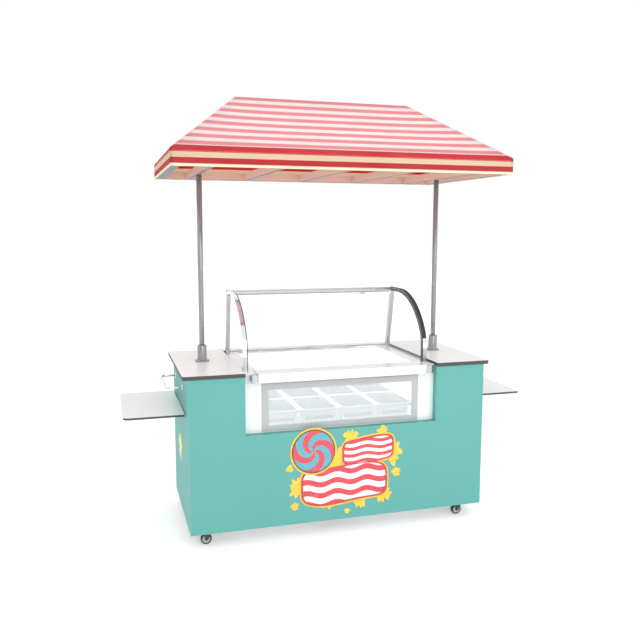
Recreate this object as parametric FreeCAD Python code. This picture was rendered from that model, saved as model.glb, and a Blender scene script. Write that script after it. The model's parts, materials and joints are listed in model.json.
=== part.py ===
import FreeCAD, Part
import math
import os

Vector = FreeCAD.Vector

# Frame: +Z up, +Y towards the server's side, -Y towards the customer.
# The origin is on the floor, under the middle of the canopy.  Millimetres.

# ---- driving dimensions ----
BODY_LENGTH = 1800.0
BODY_DEPTH = 805.0
BODY_FRONT = -437.0
BODY_BOTTOM = 83.0
COUNTER_TOP = 993.0
COUNTER_THICK = 22.0
COUNTER_END_OVERHANG = 30.0
COUNTER_FRONT = -452.0
COUNTER_BACK = 410.0
SHEET = 4.0

NOTCH_HALF = 583.0
NOTCH_SILL = 633.0
RECESS_DEPTH = 46.0

WINDOW_HALF = 481.0
WINDOW_BAR = 38.0
WINDOW_BOTTOM = 640.0
WINDOW_TOP = 918.0
RAIL_BOTTOM = 923.0

TANK_HALF = 545.0
TANK_WALL = 55.0
TANK_FRONT_WALL = 30.0
TANK_BACK = 318.0
TANK_BOTTOM = 570.0
TANK_FLOOR = 40.0
PAN_RIM = 738.0
PAN_PITCH = 240.0
PAN_COLUMNS = 4

DECK_THICK = 8.0
LEDGE_HALF = 511.0
LEDGE_FRONT = -449.0
LEDGE_BACK = -326.0
LEDGE_BOTTOM = 931.0

GUARD_TOP = 1398.0
GUARD_FRONT = -313.0
GUARD_END_OUTER = 572.0
GUARD_END_INNER = 547.0
GUARD_CROWN_RADIUS = 440.0
GUARD_CROWN_CENTRE_Y = 95.0
GUARD_SHOULDER_Z = 1080.0
GUARD_BACK_TOP = 225.0
GUARD_BACK_FOOT = 305.0

CASTER_HEIGHT = 85.0
CASTER_WHEEL_RADIUS = 31.5
CASTER_TRAIL = 17.0
CASTER_HALF_X = 788.6
CASTER_FRONT_Y = -366.0
CASTER_BACK_Y = 296.0

SHELF_OUTER = 1241.0
SHELF_INNER = 906.0
SHELF_TOP = 748.0
SHELF_THICK = 12.0
SHELF_FRONT = -305.0
SHELF_BACK = 341.0
SHELF_PIVOT_X = 914.0
SHELF_PIVOT_DROP = 10.0

HANDLE_REACH = 1002.0
HANDLE_Z = 876.0
HANDLE_FRONT = -178.0
HANDLE_BACK = 197.0
HANDLE_RADIUS = 7.0
HANDLE_BEND = 24.0
HANDLE_FLANGE = 19.0

POLE_X = 762.0
POLE_RADIUS = 16.0
SLEEVE_RADIUS = 28.0
SLEEVE_HEIGHT = 90.0
FLANGE_RADIUS = 42.0

CANOPY_HALF_X = 977.0
CANOPY_HALF_Y = 563.5
CANOPY_BOTTOM = 2103.0
CANOPY_EAVE = 2196.0
CANOPY_RIDGE = 2556.0
RIDGE_HALF = 543.0
CLOTH = 6.0
VALANCE = 4.0

# ---- sizes that follow from them ----
BODY_HALF = BODY_LENGTH / 2
BODY_BACK = BODY_FRONT + BODY_DEPTH
COUNTER_BOTTOM = COUNTER_TOP - COUNTER_THICK
DECK_TOP = COUNTER_BOTTOM + DECK_THICK
FASCIA_FRONT = BODY_FRONT + RECESS_DEPTH
TANK_FRONT = FASCIA_FRONT + SHEET
TANK_INNER_FRONT = TANK_FRONT + TANK_FRONT_WALL
TANK_INNER_BACK = TANK_BACK - TANK_FRONT_WALL
TANK_INNER_HALF = TANK_HALF - TANK_WALL
TUBE = 40.0
TUBE_WALL = 2.0
RUNNING_GAP = 0.05
BASE_TOP = CASTER_HEIGHT + TUBE
FLOOR_TOP = BASE_TOP + SHEET
POST = 30.0
INNER_HALF = BODY_HALF - SHEET
INNER_FRONT = BODY_FRONT + SHEET
INNER_BACK = BODY_BACK - SHEET
PARTITION_X = 596.0
SHELF_BOTTOM = SHELF_TOP - SHELF_THICK
SHELF_PIVOT_Z = SHELF_BOTTOM - SHELF_PIVOT_DROP
SHELF_MIDDLE = (SHELF_FRONT + SHELF_BACK) / 2


# ---- helpers ----
def box(x0, x1, y0, y1, z0, z1):
    """A box between two corners."""
    return Part.makeBox(x1 - x0, y1 - y0, z1 - z0, Vector(x0, y0, z0))


def tube(x0, x1, y0, y1, z0, z1, wall):
    """A rectangular hollow section, open at both ends of its longest side."""
    outer = box(x0, x1, y0, y1, z0, z1)
    spans = [x1 - x0, y1 - y0, z1 - z0]
    along = spans.index(max(spans))
    trims = [-1.0 if index == along else wall for index in range(3)]
    dx, dy, dz = trims
    return outer.cut(box(x0 + dx, x1 - dx, y0 + dy, y1 - dy, z0 + dz, z1 - dz))


def rod(radius, start, end):
    """A round bar from one point to another."""
    axis = Vector(*end) - Vector(*start)
    return Part.makeCylinder(radius, axis.Length, Vector(*start), axis)


def prism_x(outline, x0, x1):
    """A solid with a (y, z) outline, between two x positions."""
    corners = [Vector(x0, y, z) for y, z in outline]
    face = Part.Face(Part.makePolygon(corners + corners[:1]))
    return face.extrude(Vector(x1 - x0, 0, 0))


def mirrored(shape):
    """The shape's mirror image on the other side of the x = 0 plane."""
    return shape.mirror(Vector(0, 0, 0), Vector(1, 0, 0))


def both_sides(shape):
    """A shape and its mirror image, as a list."""
    return [shape, mirrored(shape)]


def round_upright_edges(shape, radius, keep):
    """Round the vertical edges whose x and y pass the keep test."""
    chosen = []
    for edge in shape.Edges:
        first = edge.Vertexes[0].Point
        last = edge.Vertexes[-1].Point
        upright = abs(first.x - last.x) < 0.01 and abs(first.y - last.y) < 0.01
        if upright and keep(first.x, first.y):
            chosen.append(edge)
    return shape.makeFillet(radius, chosen)


def rounded_rectangle(x, y, half_x, half_y, radius, z):
    """A closed wire: a rectangle with round corners."""
    edges = []
    centres = [(1, -1, -90), (1, 1, 0), (-1, 1, 90), (-1, -1, 180)]
    ends = []
    for sx, sy, start in centres:
        cx = x + sx * (half_x - radius)
        cy = y + sy * (half_y - radius)
        circle = Part.Circle(Vector(cx, cy, z), Vector(0, 0, 1), radius)
        arc = Part.Arc(circle, math.radians(start), math.radians(start + 90)).toShape()
        edges.append(arc)
        ends.append((arc.Vertexes[0].Point, arc.Vertexes[-1].Point))
    lines = []
    for index in range(4):
        lines.append(Part.makeLine(ends[index][1], ends[(index + 1) % 4][0]))
    ordered = [edge for pair in zip(edges, lines) for edge in pair]
    return Part.Wire(ordered)


def bar_between(start, end, width, height):
    """A rectangular bar along a line, its height in the upright plane of the line."""
    start = Vector(*start)
    end = Vector(*end)
    run = end - start
    bar = Part.makeBox(run.Length, width, height, Vector(0, -width / 2, -height / 2))
    turn = math.degrees(math.atan2(run.y, run.x))
    lift = math.degrees(math.asin(run.z / run.Length))
    bar.rotate(Vector(0, 0, 0), Vector(0, 1, 0), -lift)
    bar.rotate(Vector(0, 0, 0), Vector(0, 0, 1), turn)
    bar.translate(start)
    return bar


def save(name, shapes):
    """Write one sub-part as STEP: one solid, or a group of separate solids."""
    if isinstance(shapes, list):
        shapes = Part.makeCompound(shapes)
    shapes.exportStep("parts/" + name + ".step")


# ---- cabinet ----
def base_frame():
    """The welded tube frame under the floor."""
    z0, z1 = CASTER_HEIGHT, BASE_TOP
    tubes = []
    for y0 in (INNER_FRONT, INNER_BACK - TUBE):
        tubes.append(tube(-INNER_HALF, INNER_HALF, y0, y0 + TUBE, z0, z1, TUBE_WALL))
    cross_y0 = INNER_FRONT + TUBE
    cross_y1 = INNER_BACK - TUBE
    for middle in (-INNER_HALF + TUBE / 2, -CASTER_HALF_X, 0.0, CASTER_HALF_X, INNER_HALF - TUBE / 2):
        x0 = middle - TUBE / 2
        tubes.append(tube(x0, x0 + TUBE, cross_y0, cross_y1, z0, z1, TUBE_WALL))
    return tubes


def body_frame():
    """Posts, top rails and the bearers that carry the cold display."""
    solids = []
    top_z = COUNTER_BOTTOM
    rail_z = top_z - POST
    front0, front1 = INNER_FRONT, INNER_FRONT + POST
    back0, back1 = INNER_BACK - POST, INNER_BACK
    corner = INNER_HALF - POST
    bay_post = PARTITION_X + SHEET
    for x0, y0 in ((corner, front0), (corner, back0), (bay_post, front0), (PARTITION_X - POST, back0)):
        solids += both_sides(tube(x0, x0 + POST, y0, y0 + POST, FLOOR_TOP, top_z, TUBE_WALL))
    solids += both_sides(tube(bay_post + POST, corner, front0, front1, rail_z, top_z, TUBE_WALL))
    solids += both_sides(tube(PARTITION_X, corner, back0, back1, rail_z, top_z, TUBE_WALL))
    solids += both_sides(tube(corner, INNER_HALF, front1, back0, rail_z, top_z, TUBE_WALL))
    solids += both_sides(tube(bay_post, bay_post + POST, front1, back0, rail_z, top_z, TUBE_WALL))
    solids.append(tube(POST - PARTITION_X, PARTITION_X - POST, back0, back1, rail_z, top_z, TUBE_WALL))
    for y0 in (-300.0, 200.0):
        solids.append(tube(-PARTITION_X, PARTITION_X, y0, y0 + POST, TANK_BOTTOM - POST, TANK_BOTTOM, TUBE_WALL))
    return solids


def front_panel():
    """The front skin, with its U-shaped notch and the three returns round the notch."""
    skin = box(-BODY_HALF, BODY_HALF, BODY_FRONT, INNER_FRONT, BODY_BOTTOM, COUNTER_BOTTOM)
    notch = box(-NOTCH_HALF, NOTCH_HALF, BODY_FRONT - 1, INNER_FRONT + 1, NOTCH_SILL, COUNTER_BOTTOM + 1)
    panel = skin.cut(notch)
    outer = NOTCH_HALF + SHEET
    sill = box(-outer, outer, BODY_FRONT, FASCIA_FRONT, NOTCH_SILL - SHEET, NOTCH_SILL)
    sides = both_sides(box(NOTCH_HALF, outer, BODY_FRONT, FASCIA_FRONT, NOTCH_SILL - SHEET, COUNTER_BOTTOM))
    return panel.fuse([sill] + sides).removeSplitter()


def side_panels():
    """The two end skins."""
    return both_sides(box(INNER_HALF, BODY_HALF, INNER_FRONT, BODY_BACK, BODY_BOTTOM, COUNTER_BOTTOM))


DOOR_X0 = 602.0
DOOR_X1 = 858.0
DOOR_Z0 = 150.0
DOOR_Z1 = 930.0
DOOR_GAP = 2.0
DOOR_THICK = 16.0
DOOR_SKIN = 2.0
DOOR_GRIP_Z = (560.0, 690.0)
DOOR_GRIP_PROUD = 30.0
DOOR_FRONT = BODY_BACK - DOOR_THICK
GRILLE_HALF = 295.0
GRILLE_Z0 = 155.0
GRILLE_Z1 = 445.0
CONTROL_Z = 550.0
KNOB_X = 60.0
SWITCH_X = -60.0
INLET_X = 430.0
INLET_Z = 200.0


def rear_face_frame():
    """The rear skin, open for two doors, the service grille and the controls."""
    skin = box(-INNER_HALF, INNER_HALF, INNER_BACK, BODY_BACK, BODY_BOTTOM, COUNTER_BOTTOM)
    near, far = INNER_BACK - 1, BODY_BACK + 1
    door = box(DOOR_X0 - DOOR_GAP, DOOR_X1 + DOOR_GAP, near, far, DOOR_Z0 - DOOR_GAP, DOOR_Z1 + DOOR_GAP)
    cuts = both_sides(door)
    cuts.append(box(-GRILLE_HALF, GRILLE_HALF, near, far, GRILLE_Z0, GRILLE_Z1))
    cuts.append(rod(8.0, (KNOB_X, near, CONTROL_Z), (KNOB_X, far, CONTROL_Z)))
    cuts.append(box(SWITCH_X - 17, SWITCH_X + 17, near, far, CONTROL_Z - 21, CONTROL_Z + 21))
    cuts.append(box(INLET_X - 16, INLET_X + 16, near, far, INLET_Z - 13, INLET_Z + 13))
    return skin.cut(Part.makeCompound(cuts))


def partitions():
    """The two sheets between the storage bays and the cold bay."""
    x1 = PARTITION_X + SHEET
    top = COUNTER_BOTTOM - POST
    return both_sides(box(PARTITION_X, x1, INNER_FRONT + POST, INNER_BACK, FLOOR_TOP, top))


SCREW_RING = 35.0
SCREW_SHANK = 2.5
SCREW_COUNT = 4


def screw_places():
    """Centres of the screws round both pole sockets, as (x, y)."""
    places = []
    for side in (-1, 1):
        for index in range(SCREW_COUNT):
            angle = math.radians(45 + 90 * index)
            x = side * POLE_X + SCREW_RING * math.cos(angle)
            places.append((x, SCREW_RING * math.sin(angle)))
    return places


def screw_holes(z0, z1):
    """Clearance holes for the socket screws."""
    holes = [rod(SCREW_SHANK + 0.1, (x, y, z0), (x, y, z1)) for x, y in screw_places()]
    return Part.makeCompound(holes)


def countertops():
    """The left, right and rear worktops of compact laminate."""
    inner = NOTCH_HALF + 0.5
    outer = BODY_HALF + COUNTER_END_OVERHANG
    slab = box(inner, outer, COUNTER_FRONT, COUNTER_BACK, COUNTER_BOTTOM, COUNTER_TOP)
    slab = round_upright_edges(slab, 18.0, lambda x, y: x > BODY_HALF)
    slabs = both_sides(slab)
    pilot_holes = screw_holes(COUNTER_BOTTOM + 2, COUNTER_TOP + 1)
    slabs = [piece.cut(pilot_holes) for piece in slabs]
    rear_front = TANK_BACK + 3
    slabs.append(box(-NOTCH_HALF, NOTCH_HALF, rear_front, COUNTER_BACK, COUNTER_BOTTOM, COUNTER_TOP))
    return slabs


# ---- cold display ----
def window_hole(y0, y1, margin):
    """A box through the window, larger than the clear glass by a margin."""
    half = WINDOW_HALF - WINDOW_BAR + margin
    z0 = WINDOW_BOTTOM + WINDOW_BAR - 7.0 - margin
    z1 = WINDOW_TOP - WINDOW_BAR + margin
    return box(-half, half, y0, y1, z0, z1)


GLASS_MARGIN = 12.0
PANE = 4.0


def display_fascia():
    """The white panel at the back of the recess, open for the window."""
    sheet = box(-NOTCH_HALF, NOTCH_HALF, FASCIA_FRONT, TANK_FRONT, NOTCH_SILL, RAIL_BOTTOM)
    return sheet.cut(window_hole(FASCIA_FRONT - 1, TANK_FRONT + 1, GLASS_MARGIN))


def window_frame():
    """The grey frame round the window."""
    y0 = FASCIA_FRONT - 6.0
    outer = box(-WINDOW_HALF, WINDOW_HALF, y0, FASCIA_FRONT, WINDOW_BOTTOM, WINDOW_TOP)
    return outer.cut(window_hole(y0 - 1, FASCIA_FRONT + 1, 0.0))


def window_glass():
    """The two panes of the sealed window."""
    outer = window_hole(FASCIA_FRONT, FASCIA_FRONT + PANE, GLASS_MARGIN - 0.5)
    inner = window_hole(TANK_INNER_FRONT - 14, TANK_INNER_FRONT - 14 + PANE, GLASS_MARGIN - 0.5)
    return [outer, inner]


def display_tank():
    """The insulated well, open at the top and at its window."""
    outer = box(-TANK_HALF, TANK_HALF, TANK_FRONT, TANK_BACK, TANK_BOTTOM, COUNTER_BOTTOM)
    cavity = box(
        -TANK_INNER_HALF, TANK_INNER_HALF, TANK_INNER_FRONT, TANK_INNER_BACK,
        TANK_BOTTOM + TANK_FLOOR, COUNTER_BOTTOM + 1,
    )
    return outer.cut(cavity).cut(window_hole(TANK_FRONT - 1, TANK_INNER_FRONT + 1, GLASS_MARGIN))


PAN_HALF_X = 114.0
PAN_HALF_Y = 159.0
PAN_FLANGE = 9.0
PAN_TAPER = 7.0
PAN_DEPTH = 108.0
PAN_WALL = 3.0
PAN_RIM_THICK = 2.0
PAN_ROW_GAP = 4.0
PAN_FIRST_Y = TANK_INNER_FRONT + 2.5 + PAN_HALF_Y
PAN_ROWS = (PAN_FIRST_Y, PAN_FIRST_Y + 2 * PAN_HALF_Y + PAN_ROW_GAP)


def pan_columns():
    """The x positions of the pans."""
    first = -PAN_PITCH * (PAN_COLUMNS - 1) / 2
    return [first + PAN_PITCH * index for index in range(PAN_COLUMNS)]


def tapered_block(x, y, inset, z0, z1, bottom_extra):
    """A rounded block that narrows towards its floor."""
    half_x = PAN_HALF_X - PAN_FLANGE - inset
    half_y = PAN_HALF_Y - PAN_FLANGE - inset
    top = rounded_rectangle(x, y, half_x, half_y, 22.0 - inset, z1)
    taper = PAN_TAPER + bottom_extra
    floor = rounded_rectangle(x, y, half_x - taper, half_y - taper, 22.0 - inset, z0)
    return Part.makeLoft([floor, top], True, True)


def pan(x, y):
    """One lift-out pan: a tapered tray with a flat rim."""
    rim_z0 = PAN_RIM - PAN_RIM_THICK
    floor_z = PAN_RIM - PAN_DEPTH
    tray = tapered_block(x, y, 0.0, floor_z, rim_z0, 0.0)
    rim_wire = rounded_rectangle(x, y, PAN_HALF_X, PAN_HALF_Y, 24.0, rim_z0)
    rim = Part.Face(rim_wire).extrude(Vector(0, 0, PAN_RIM_THICK))
    inside = tapered_block(x, y, PAN_WALL, floor_z + PAN_WALL, PAN_RIM + 1, 0.0)
    return tray.fuse(rim).cut(inside).removeSplitter()


def pans():
    """All the pans, in two rows."""
    return [pan(x, y) for y in PAN_ROWS for x in pan_columns()]


def pan_rack():
    """The bars under the rims of the pans."""
    z1 = PAN_RIM - PAN_RIM_THICK
    z0 = z1 - 12.0
    half = TANK_INNER_HALF
    bodies = PAN_HALF_Y - PAN_FLANGE
    spans = [
        (TANK_INNER_FRONT, PAN_ROWS[0] - bodies - 1),
        (PAN_ROWS[0] + bodies + 1, PAN_ROWS[1] - bodies - 1),
        (PAN_ROWS[1] + bodies + 1, TANK_INNER_BACK),
    ]
    bars = [box(-half, half, y0, y1, z0, z1) for y0, y1 in spans]
    inner_half = PAN_PITCH / 2 - (PAN_HALF_X - PAN_FLANGE) - 1
    for y0, y1 in ((spans[0][1], spans[1][0]), (spans[1][1], spans[2][0])):
        for index in range(1, PAN_COLUMNS):
            x = pan_columns()[0] + PAN_PITCH * (index - 0.5)
            bars.append(box(x - inner_half, x + inner_half, y0, y1, z0, z1))
        edge = pan_columns()[-1] + PAN_HALF_X - PAN_FLANGE + 1
        bars += both_sides(box(edge, half, y0, y1, z0, z1))
    return bars


DECK_FRONT = FASCIA_FRONT - 6.0
DECK_BACK = TANK_BACK + 2
DECK_HOLE_FRONT = -296.0


def display_deck():
    """The plate on top of the well, with the serving opening."""
    plate = box(-NOTCH_HALF, NOTCH_HALF, DECK_FRONT, DECK_BACK, COUNTER_BOTTOM, DECK_TOP)
    hole = box(
        -TANK_INNER_HALF, TANK_INNER_HALF, DECK_HOLE_FRONT, TANK_INNER_BACK - 6,
        COUNTER_BOTTOM - 1, DECK_TOP + 1,
    )
    return plate.cut(hole)


def front_rail():
    """The stainless bar across the notch, above the window."""
    return box(-NOTCH_HALF, NOTCH_HALF, DECK_FRONT, TANK_FRONT, RAIL_BOTTOM, COUNTER_BOTTOM)


def front_ledge():
    """The white serving ledge: a thin top and a deep nose."""
    top = DECK_TOP + 6.0
    nose_back = LEDGE_FRONT + 12.0
    outline = [
        (LEDGE_FRONT, LEDGE_BOTTOM), (nose_back, LEDGE_BOTTOM), (nose_back, DECK_TOP),
        (LEDGE_BACK, DECK_TOP), (LEDGE_BACK, top), (LEDGE_FRONT, top),
    ]
    return prism_x(outline, -LEDGE_HALF, LEDGE_HALF)


def led_strip():
    """The light bar inside the well, above the window."""
    y0 = TANK_INNER_FRONT
    return box(-470.0, 470.0, y0, y0 + 14.0, 950.0, 964.0)


# ---- curved guard ----
CROWN = (GUARD_CROWN_CENTRE_Y, GUARD_TOP - GUARD_CROWN_RADIUS)


def shoulder_radius():
    """Radius of the lower arc, tangent to the crown arc and upright at the guard's front."""
    reach = CROWN[0] - GUARD_FRONT
    drop = GUARD_SHOULDER_Z - CROWN[1]
    top = GUARD_CROWN_RADIUS ** 2 - reach ** 2 - drop ** 2
    return top / (2 * (GUARD_CROWN_RADIUS - reach))


SHOULDER_RADIUS = shoulder_radius()
SHOULDER = (GUARD_FRONT + SHOULDER_RADIUS, GUARD_SHOULDER_Z)


def on_circle(centre, radius, degrees):
    """A (y, z) point on a circle: 0 points forward to -Y, 90 points up."""
    angle = math.radians(degrees)
    return (centre[0] - radius * math.cos(angle), centre[1] + radius * math.sin(angle))


def guard_path(inset, back_y):
    """Edges of the guard's outline at x = 0, from its top back corner to its foot."""
    joint = math.degrees(math.atan2(SHOULDER[1] - CROWN[1], CROWN[0] - SHOULDER[0]))
    crown = GUARD_CROWN_RADIUS - inset
    shoulder = SHOULDER_RADIUS - inset
    stations = [
        (back_y, GUARD_TOP - inset),
        on_circle(CROWN, crown, 90),
        on_circle(CROWN, crown, (90 + joint) / 2),
        on_circle(CROWN, crown, joint),
        on_circle(SHOULDER, shoulder, joint / 2),
        on_circle(SHOULDER, shoulder, 0),
        (GUARD_FRONT + inset, DECK_TOP),
    ]
    points = [Vector(0, y, z) for y, z in stations]
    return [
        Part.makeLine(points[0], points[1]),
        Part.Arc(points[1], points[2], points[3]).toShape(),
        Part.Arc(points[3], points[4], points[5]).toShape(),
        Part.makeLine(points[5], points[6]),
    ], points[0], points[6]


def guard_band(outer, inner, x0, x1, back_y):
    """A solid band that follows the guard's outline between two insets."""
    far, far_start, far_end = guard_path(outer, back_y)
    near, near_start, near_end = guard_path(inner, back_y)
    ends = [Part.makeLine(far_end, near_end), Part.makeLine(near_start, far_start)]
    wire = Part.Wire(Part.__sortEdges__(far + near + ends))
    band = Part.Face(wire).extrude(Vector(x1 - x0, 0, 0))
    band.translate(Vector(x0, 0, 0))
    return band


SLOPE_RUN = GUARD_BACK_TOP - GUARD_BACK_FOOT
SLOPE_RISE = 411.0
SLOPE_LENGTH = math.hypot(SLOPE_RUN, SLOPE_RISE)
ALONG = (SLOPE_RUN / SLOPE_LENGTH, SLOPE_RISE / SLOPE_LENGTH)
OUTWARD = (ALONG[1], -ALONG[0])
TRACK_FRONT = -18.0
TRACK_BACK = 12.0
TRACK_TOP = 400.0
GROOVE = 8.0
TRACK_WEB = 4.0


def on_slope(along, outward):
    """A (y, z) point in the leaning rear plane: how far up it, and how far behind it."""
    y = GUARD_BACK_FOOT + along * ALONG[0] + outward * OUTWARD[0]
    z = DECK_TOP + along * ALONG[1] + outward * OUTWARD[1]
    return (y, z)


def sloped(x0, x1, along0, along1, outward0, outward1):
    """A bar in the leaning rear plane."""
    outline = [
        on_slope(along0, outward0), on_slope(along1, outward0),
        on_slope(along1, outward1), on_slope(along0, outward1),
    ]
    return prism_x(outline, x0, x1)


def sloped_from_deck(x0, x1, along1, outward0, outward1):
    """A leaning bar whose foot is cut level with the deck."""
    foot0 = -outward0 * OUTWARD[1] / ALONG[1]
    foot1 = -outward1 * OUTWARD[1] / ALONG[1]
    outline = [
        on_slope(foot0, outward0), on_slope(along1, outward0),
        on_slope(along1, outward1), on_slope(foot1, outward1),
    ]
    return prism_x(outline, x0, x1)


FRAME_DEPTH = 14.0
FRONT_GLASS = (3.0, 8.0)
GUARD_BACK = 240.0
BAR_FRONT = 207.0
GASKET = 5.0
END_PANE = (556.0, 561.0)
PANE_GAP = 0.2
POST_GAP = 2.0


def guard_end_frames():
    """The curved frames at the two ends of the guard."""
    band = guard_band(0.0, FRAME_DEPTH, GUARD_END_INNER, GUARD_END_OUTER, GUARD_BACK)
    return both_sides(band)


def guard_gaskets():
    """Black seals on the inner faces of the end frames."""
    band = guard_band(1.0, FRAME_DEPTH - 1.0, GUARD_END_INNER - GASKET, GUARD_END_INNER, GUARD_BACK)
    return both_sides(band)


def guard_front_glass():
    """The bent front glass, from the deck over the crown to the top bar."""
    half = GUARD_END_INNER - GASKET
    return guard_band(FRONT_GLASS[0], FRONT_GLASS[1], -half, half, BAR_FRONT)


def guard_end_glass():
    """The end panes, inside the curved frames."""
    inset = FRAME_DEPTH + PANE_GAP
    lift = GUARD_TOP - inset
    along = (lift - DECK_TOP - TRACK_FRONT * OUTWARD[1]) / ALONG[1]
    heel = Vector(0, on_slope(0, TRACK_FRONT)[0] - POST_GAP, DECK_TOP)
    neck = Vector(0, on_slope(along, TRACK_FRONT)[0] - POST_GAP, lift)
    edges, _, foot = guard_path(inset, neck.y)
    edges += [Part.makeLine(foot, heel), Part.makeLine(heel, neck)]
    face = Part.Face(Part.Wire(Part.__sortEdges__(edges)))
    pane = face.extrude(Vector(END_PANE[1] - END_PANE[0], 0, 0))
    pane.translate(Vector(END_PANE[0], 0, 0))
    return both_sides(pane)


def guard_top_bar():
    """The steel bar along the top of the guard."""
    half = GUARD_END_INNER - GASKET
    return box(-half, half, BAR_FRONT, GUARD_BACK, GUARD_TOP - 22, GUARD_TOP)


def guard_posts():
    """The leaning rear posts and the steel feet of the curved frames."""
    post = sloped_from_deck(GUARD_END_INNER, GUARD_END_OUTER, TRACK_TOP, TRACK_FRONT, TRACK_BACK)
    foot_y0 = GUARD_FRONT - 5.0
    foot = box(GUARD_END_INNER, GUARD_END_OUTER, foot_y0, GUARD_FRONT, DECK_TOP, DECK_TOP + 80)
    return both_sides(post) + both_sides(foot)


def guard_tracks():
    """The lower and upper guides of the two sliding doors."""
    half = GUARD_END_INNER
    web_top = TRACK_WEB + 2
    lower = sloped_from_deck(-half, half, web_top, TRACK_FRONT, TRACK_BACK)
    upper = sloped(-half, half, TRACK_TOP - TRACK_WEB, TRACK_TOP, TRACK_FRONT, TRACK_BACK)
    for w0, w1 in ((TRACK_FRONT, TRACK_FRONT + 2), (-1.0, 1.0), (TRACK_BACK - 2, TRACK_BACK)):
        lower = lower.fuse(sloped(-half, half, web_top - 1, web_top + GROOVE, w0, w1))
        top0 = TRACK_TOP - TRACK_WEB - GROOVE
        upper = upper.fuse(sloped(-half, half, top0, TRACK_TOP - TRACK_WEB + 1, w0, w1))
    return [lower.removeSplitter(), upper.removeSplitter()]


SLIDER_OUTER = 545.0
SLIDER_LAP = 15.0
SLIDER_Z0 = 8.0
SLIDER_Z1 = 394.0
SLIDER_LEFT_W = (-13.0, -8.0)
SLIDER_RIGHT_W = (3.0, 8.0)
PULL_PROUD = 6.0
PULL_HALF = 9.0
PULL_Z = (140.0, 250.0)
PULL_LIP = 5.0
PULL_INSET = 16.0


def sliding_door(x0, x1, pull_x, planes):
    """One sliding pane with its finger pull."""
    pane = sloped(x0, x1, SLIDER_Z0, SLIDER_Z1, planes[0], planes[1])
    back = planes[1]
    z0, z1 = PULL_Z
    hollow = PULL_HALF - PULL_LIP
    pull = sloped(pull_x - PULL_HALF, pull_x + PULL_HALF, z0, z1, back, back + PULL_PROUD)
    scoop = sloped(
        pull_x - hollow, pull_x + hollow, z0 + 2 * PULL_LIP, z1 - 2 * PULL_LIP, back + 2, back + PULL_PROUD + 1,
    )
    return [pane, pull.cut(scoop)]


# ---- refrigeration and controls ----
FAN_Z = 300.0
FAN_Y = (262.0, 280.0)
FAN_RADIUS = 112.0
FAN_HUB = 26.0
FAN_SHAFT = 4.0
FAN_BLADES = 5
BLADE_CHORD = 56.0
BLADE_THICK = 3.0
BLADE_TWIST = 15.0
SHELL_RADIUS = 72.0
SHELL_HEIGHT = 114.0
DOME_HEIGHT = 55.0
COMPRESSOR_AT = (-330.0, 120.0)
COIL_HALF = 170.0
COIL_Y = (300.0, 345.0)
SHROUD_Y = (288.0, 300.0)
SHROUD_SHEET = 6.0
SHROUD_HALF = 160.0
SHROUD_GAP = 6.0
SHROUD_RIM = 14.0
MOTOR_RADIUS = 34.0
MOTOR_Y = (196.0, 256.0)


def compressor():
    """The sealed compressor on its mounting plate."""
    x, y = COMPRESSOR_AT
    radius = SHELL_RADIUS
    foot = FLOOR_TOP + SHROUD_SHEET
    shoulder = foot + SHELL_HEIGHT
    plate = box(x - 90, x + 90, y - 80, y + 80, FLOOR_TOP, foot)
    shell = rod(radius, (x, y, foot), (x, y, shoulder))
    dome = Part.makeSphere(radius, Vector(x, y, shoulder))
    cap = box(x - radius, x + radius, y - radius, y + radius, shoulder, shoulder + DOME_HEIGHT)
    terminal = box(x + radius - 12, x + radius + 20, y - 25, y + 25, foot + 44, foot + 94)
    return plate.fuse([shell, dome.common(cap), terminal]).removeSplitter()


def condenser():
    """The finned coil, its fan shroud, and the fan motor on its bracket."""
    y0, y1 = SHROUD_Y
    bore_radius = FAN_RADIUS + SHROUD_GAP
    coil = box(-COIL_HALF, COIL_HALF, COIL_Y[0], COIL_Y[1], FLOOR_TOP + 20, FLOOR_TOP + 330)
    ring = rod(FAN_RADIUS + SHROUD_RIM, (0, y0, FAN_Z), (0, y1, FAN_Z))
    stand = box(-SHROUD_HALF, SHROUD_HALF, y1 - SHROUD_SHEET, y1, FLOOR_TOP, FLOOR_TOP + 300)
    bore = rod(bore_radius, (0, y0 - 1, FAN_Z), (0, y1 + 1, FAN_Z))
    shroud = ring.fuse(stand).cut(bore).removeSplitter()
    motor = rod(MOTOR_RADIUS, (0, MOTOR_Y[0], FAN_Z), (0, MOTOR_Y[1], FAN_Z))
    shaft = rod(FAN_SHAFT, (0, MOTOR_Y[1], FAN_Z), (0, FAN_Y[1] + 4, FAN_Z))
    leg = box(-20.0, 20.0, MOTOR_Y[0] + 20, MOTOR_Y[0] + 40, FLOOR_TOP, FAN_Z)
    return [coil, shroud, motor.fuse([shaft, leg]).removeSplitter()]


def condenser_fan():
    """The fan: a hub with twisted blades on the motor's shaft."""
    y0, y1 = FAN_Y
    root = FAN_HUB - 6
    hub = rod(FAN_HUB, (0, y0, FAN_Z), (0, y1, FAN_Z))
    blades = []
    for index in range(FAN_BLADES):
        corner = Vector(-BLADE_CHORD / 2, -BLADE_THICK / 2, root)
        blade = Part.makeBox(BLADE_CHORD, BLADE_THICK, FAN_RADIUS - root, corner)
        blade.rotate(Vector(0, 0, 0), Vector(0, 0, 1), BLADE_TWIST)
        blade.translate(Vector(0, (y0 + y1) / 2, 0))
        blade.rotate(Vector(0, 0, 0), Vector(0, 1, 0), 360.0 / FAN_BLADES * index)
        blade.translate(Vector(0, 0, FAN_Z))
        blades.append(blade)
    bore = rod(FAN_SHAFT + RUNNING_GAP, (0, y0 - 1, FAN_Z), (0, y1 + 1, FAN_Z))
    return hub.fuse(blades).cut(bore).removeSplitter()


PLATE_Y = (BODY_BACK, BODY_BACK + 3.0)
SPINDLE = 4.0


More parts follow.
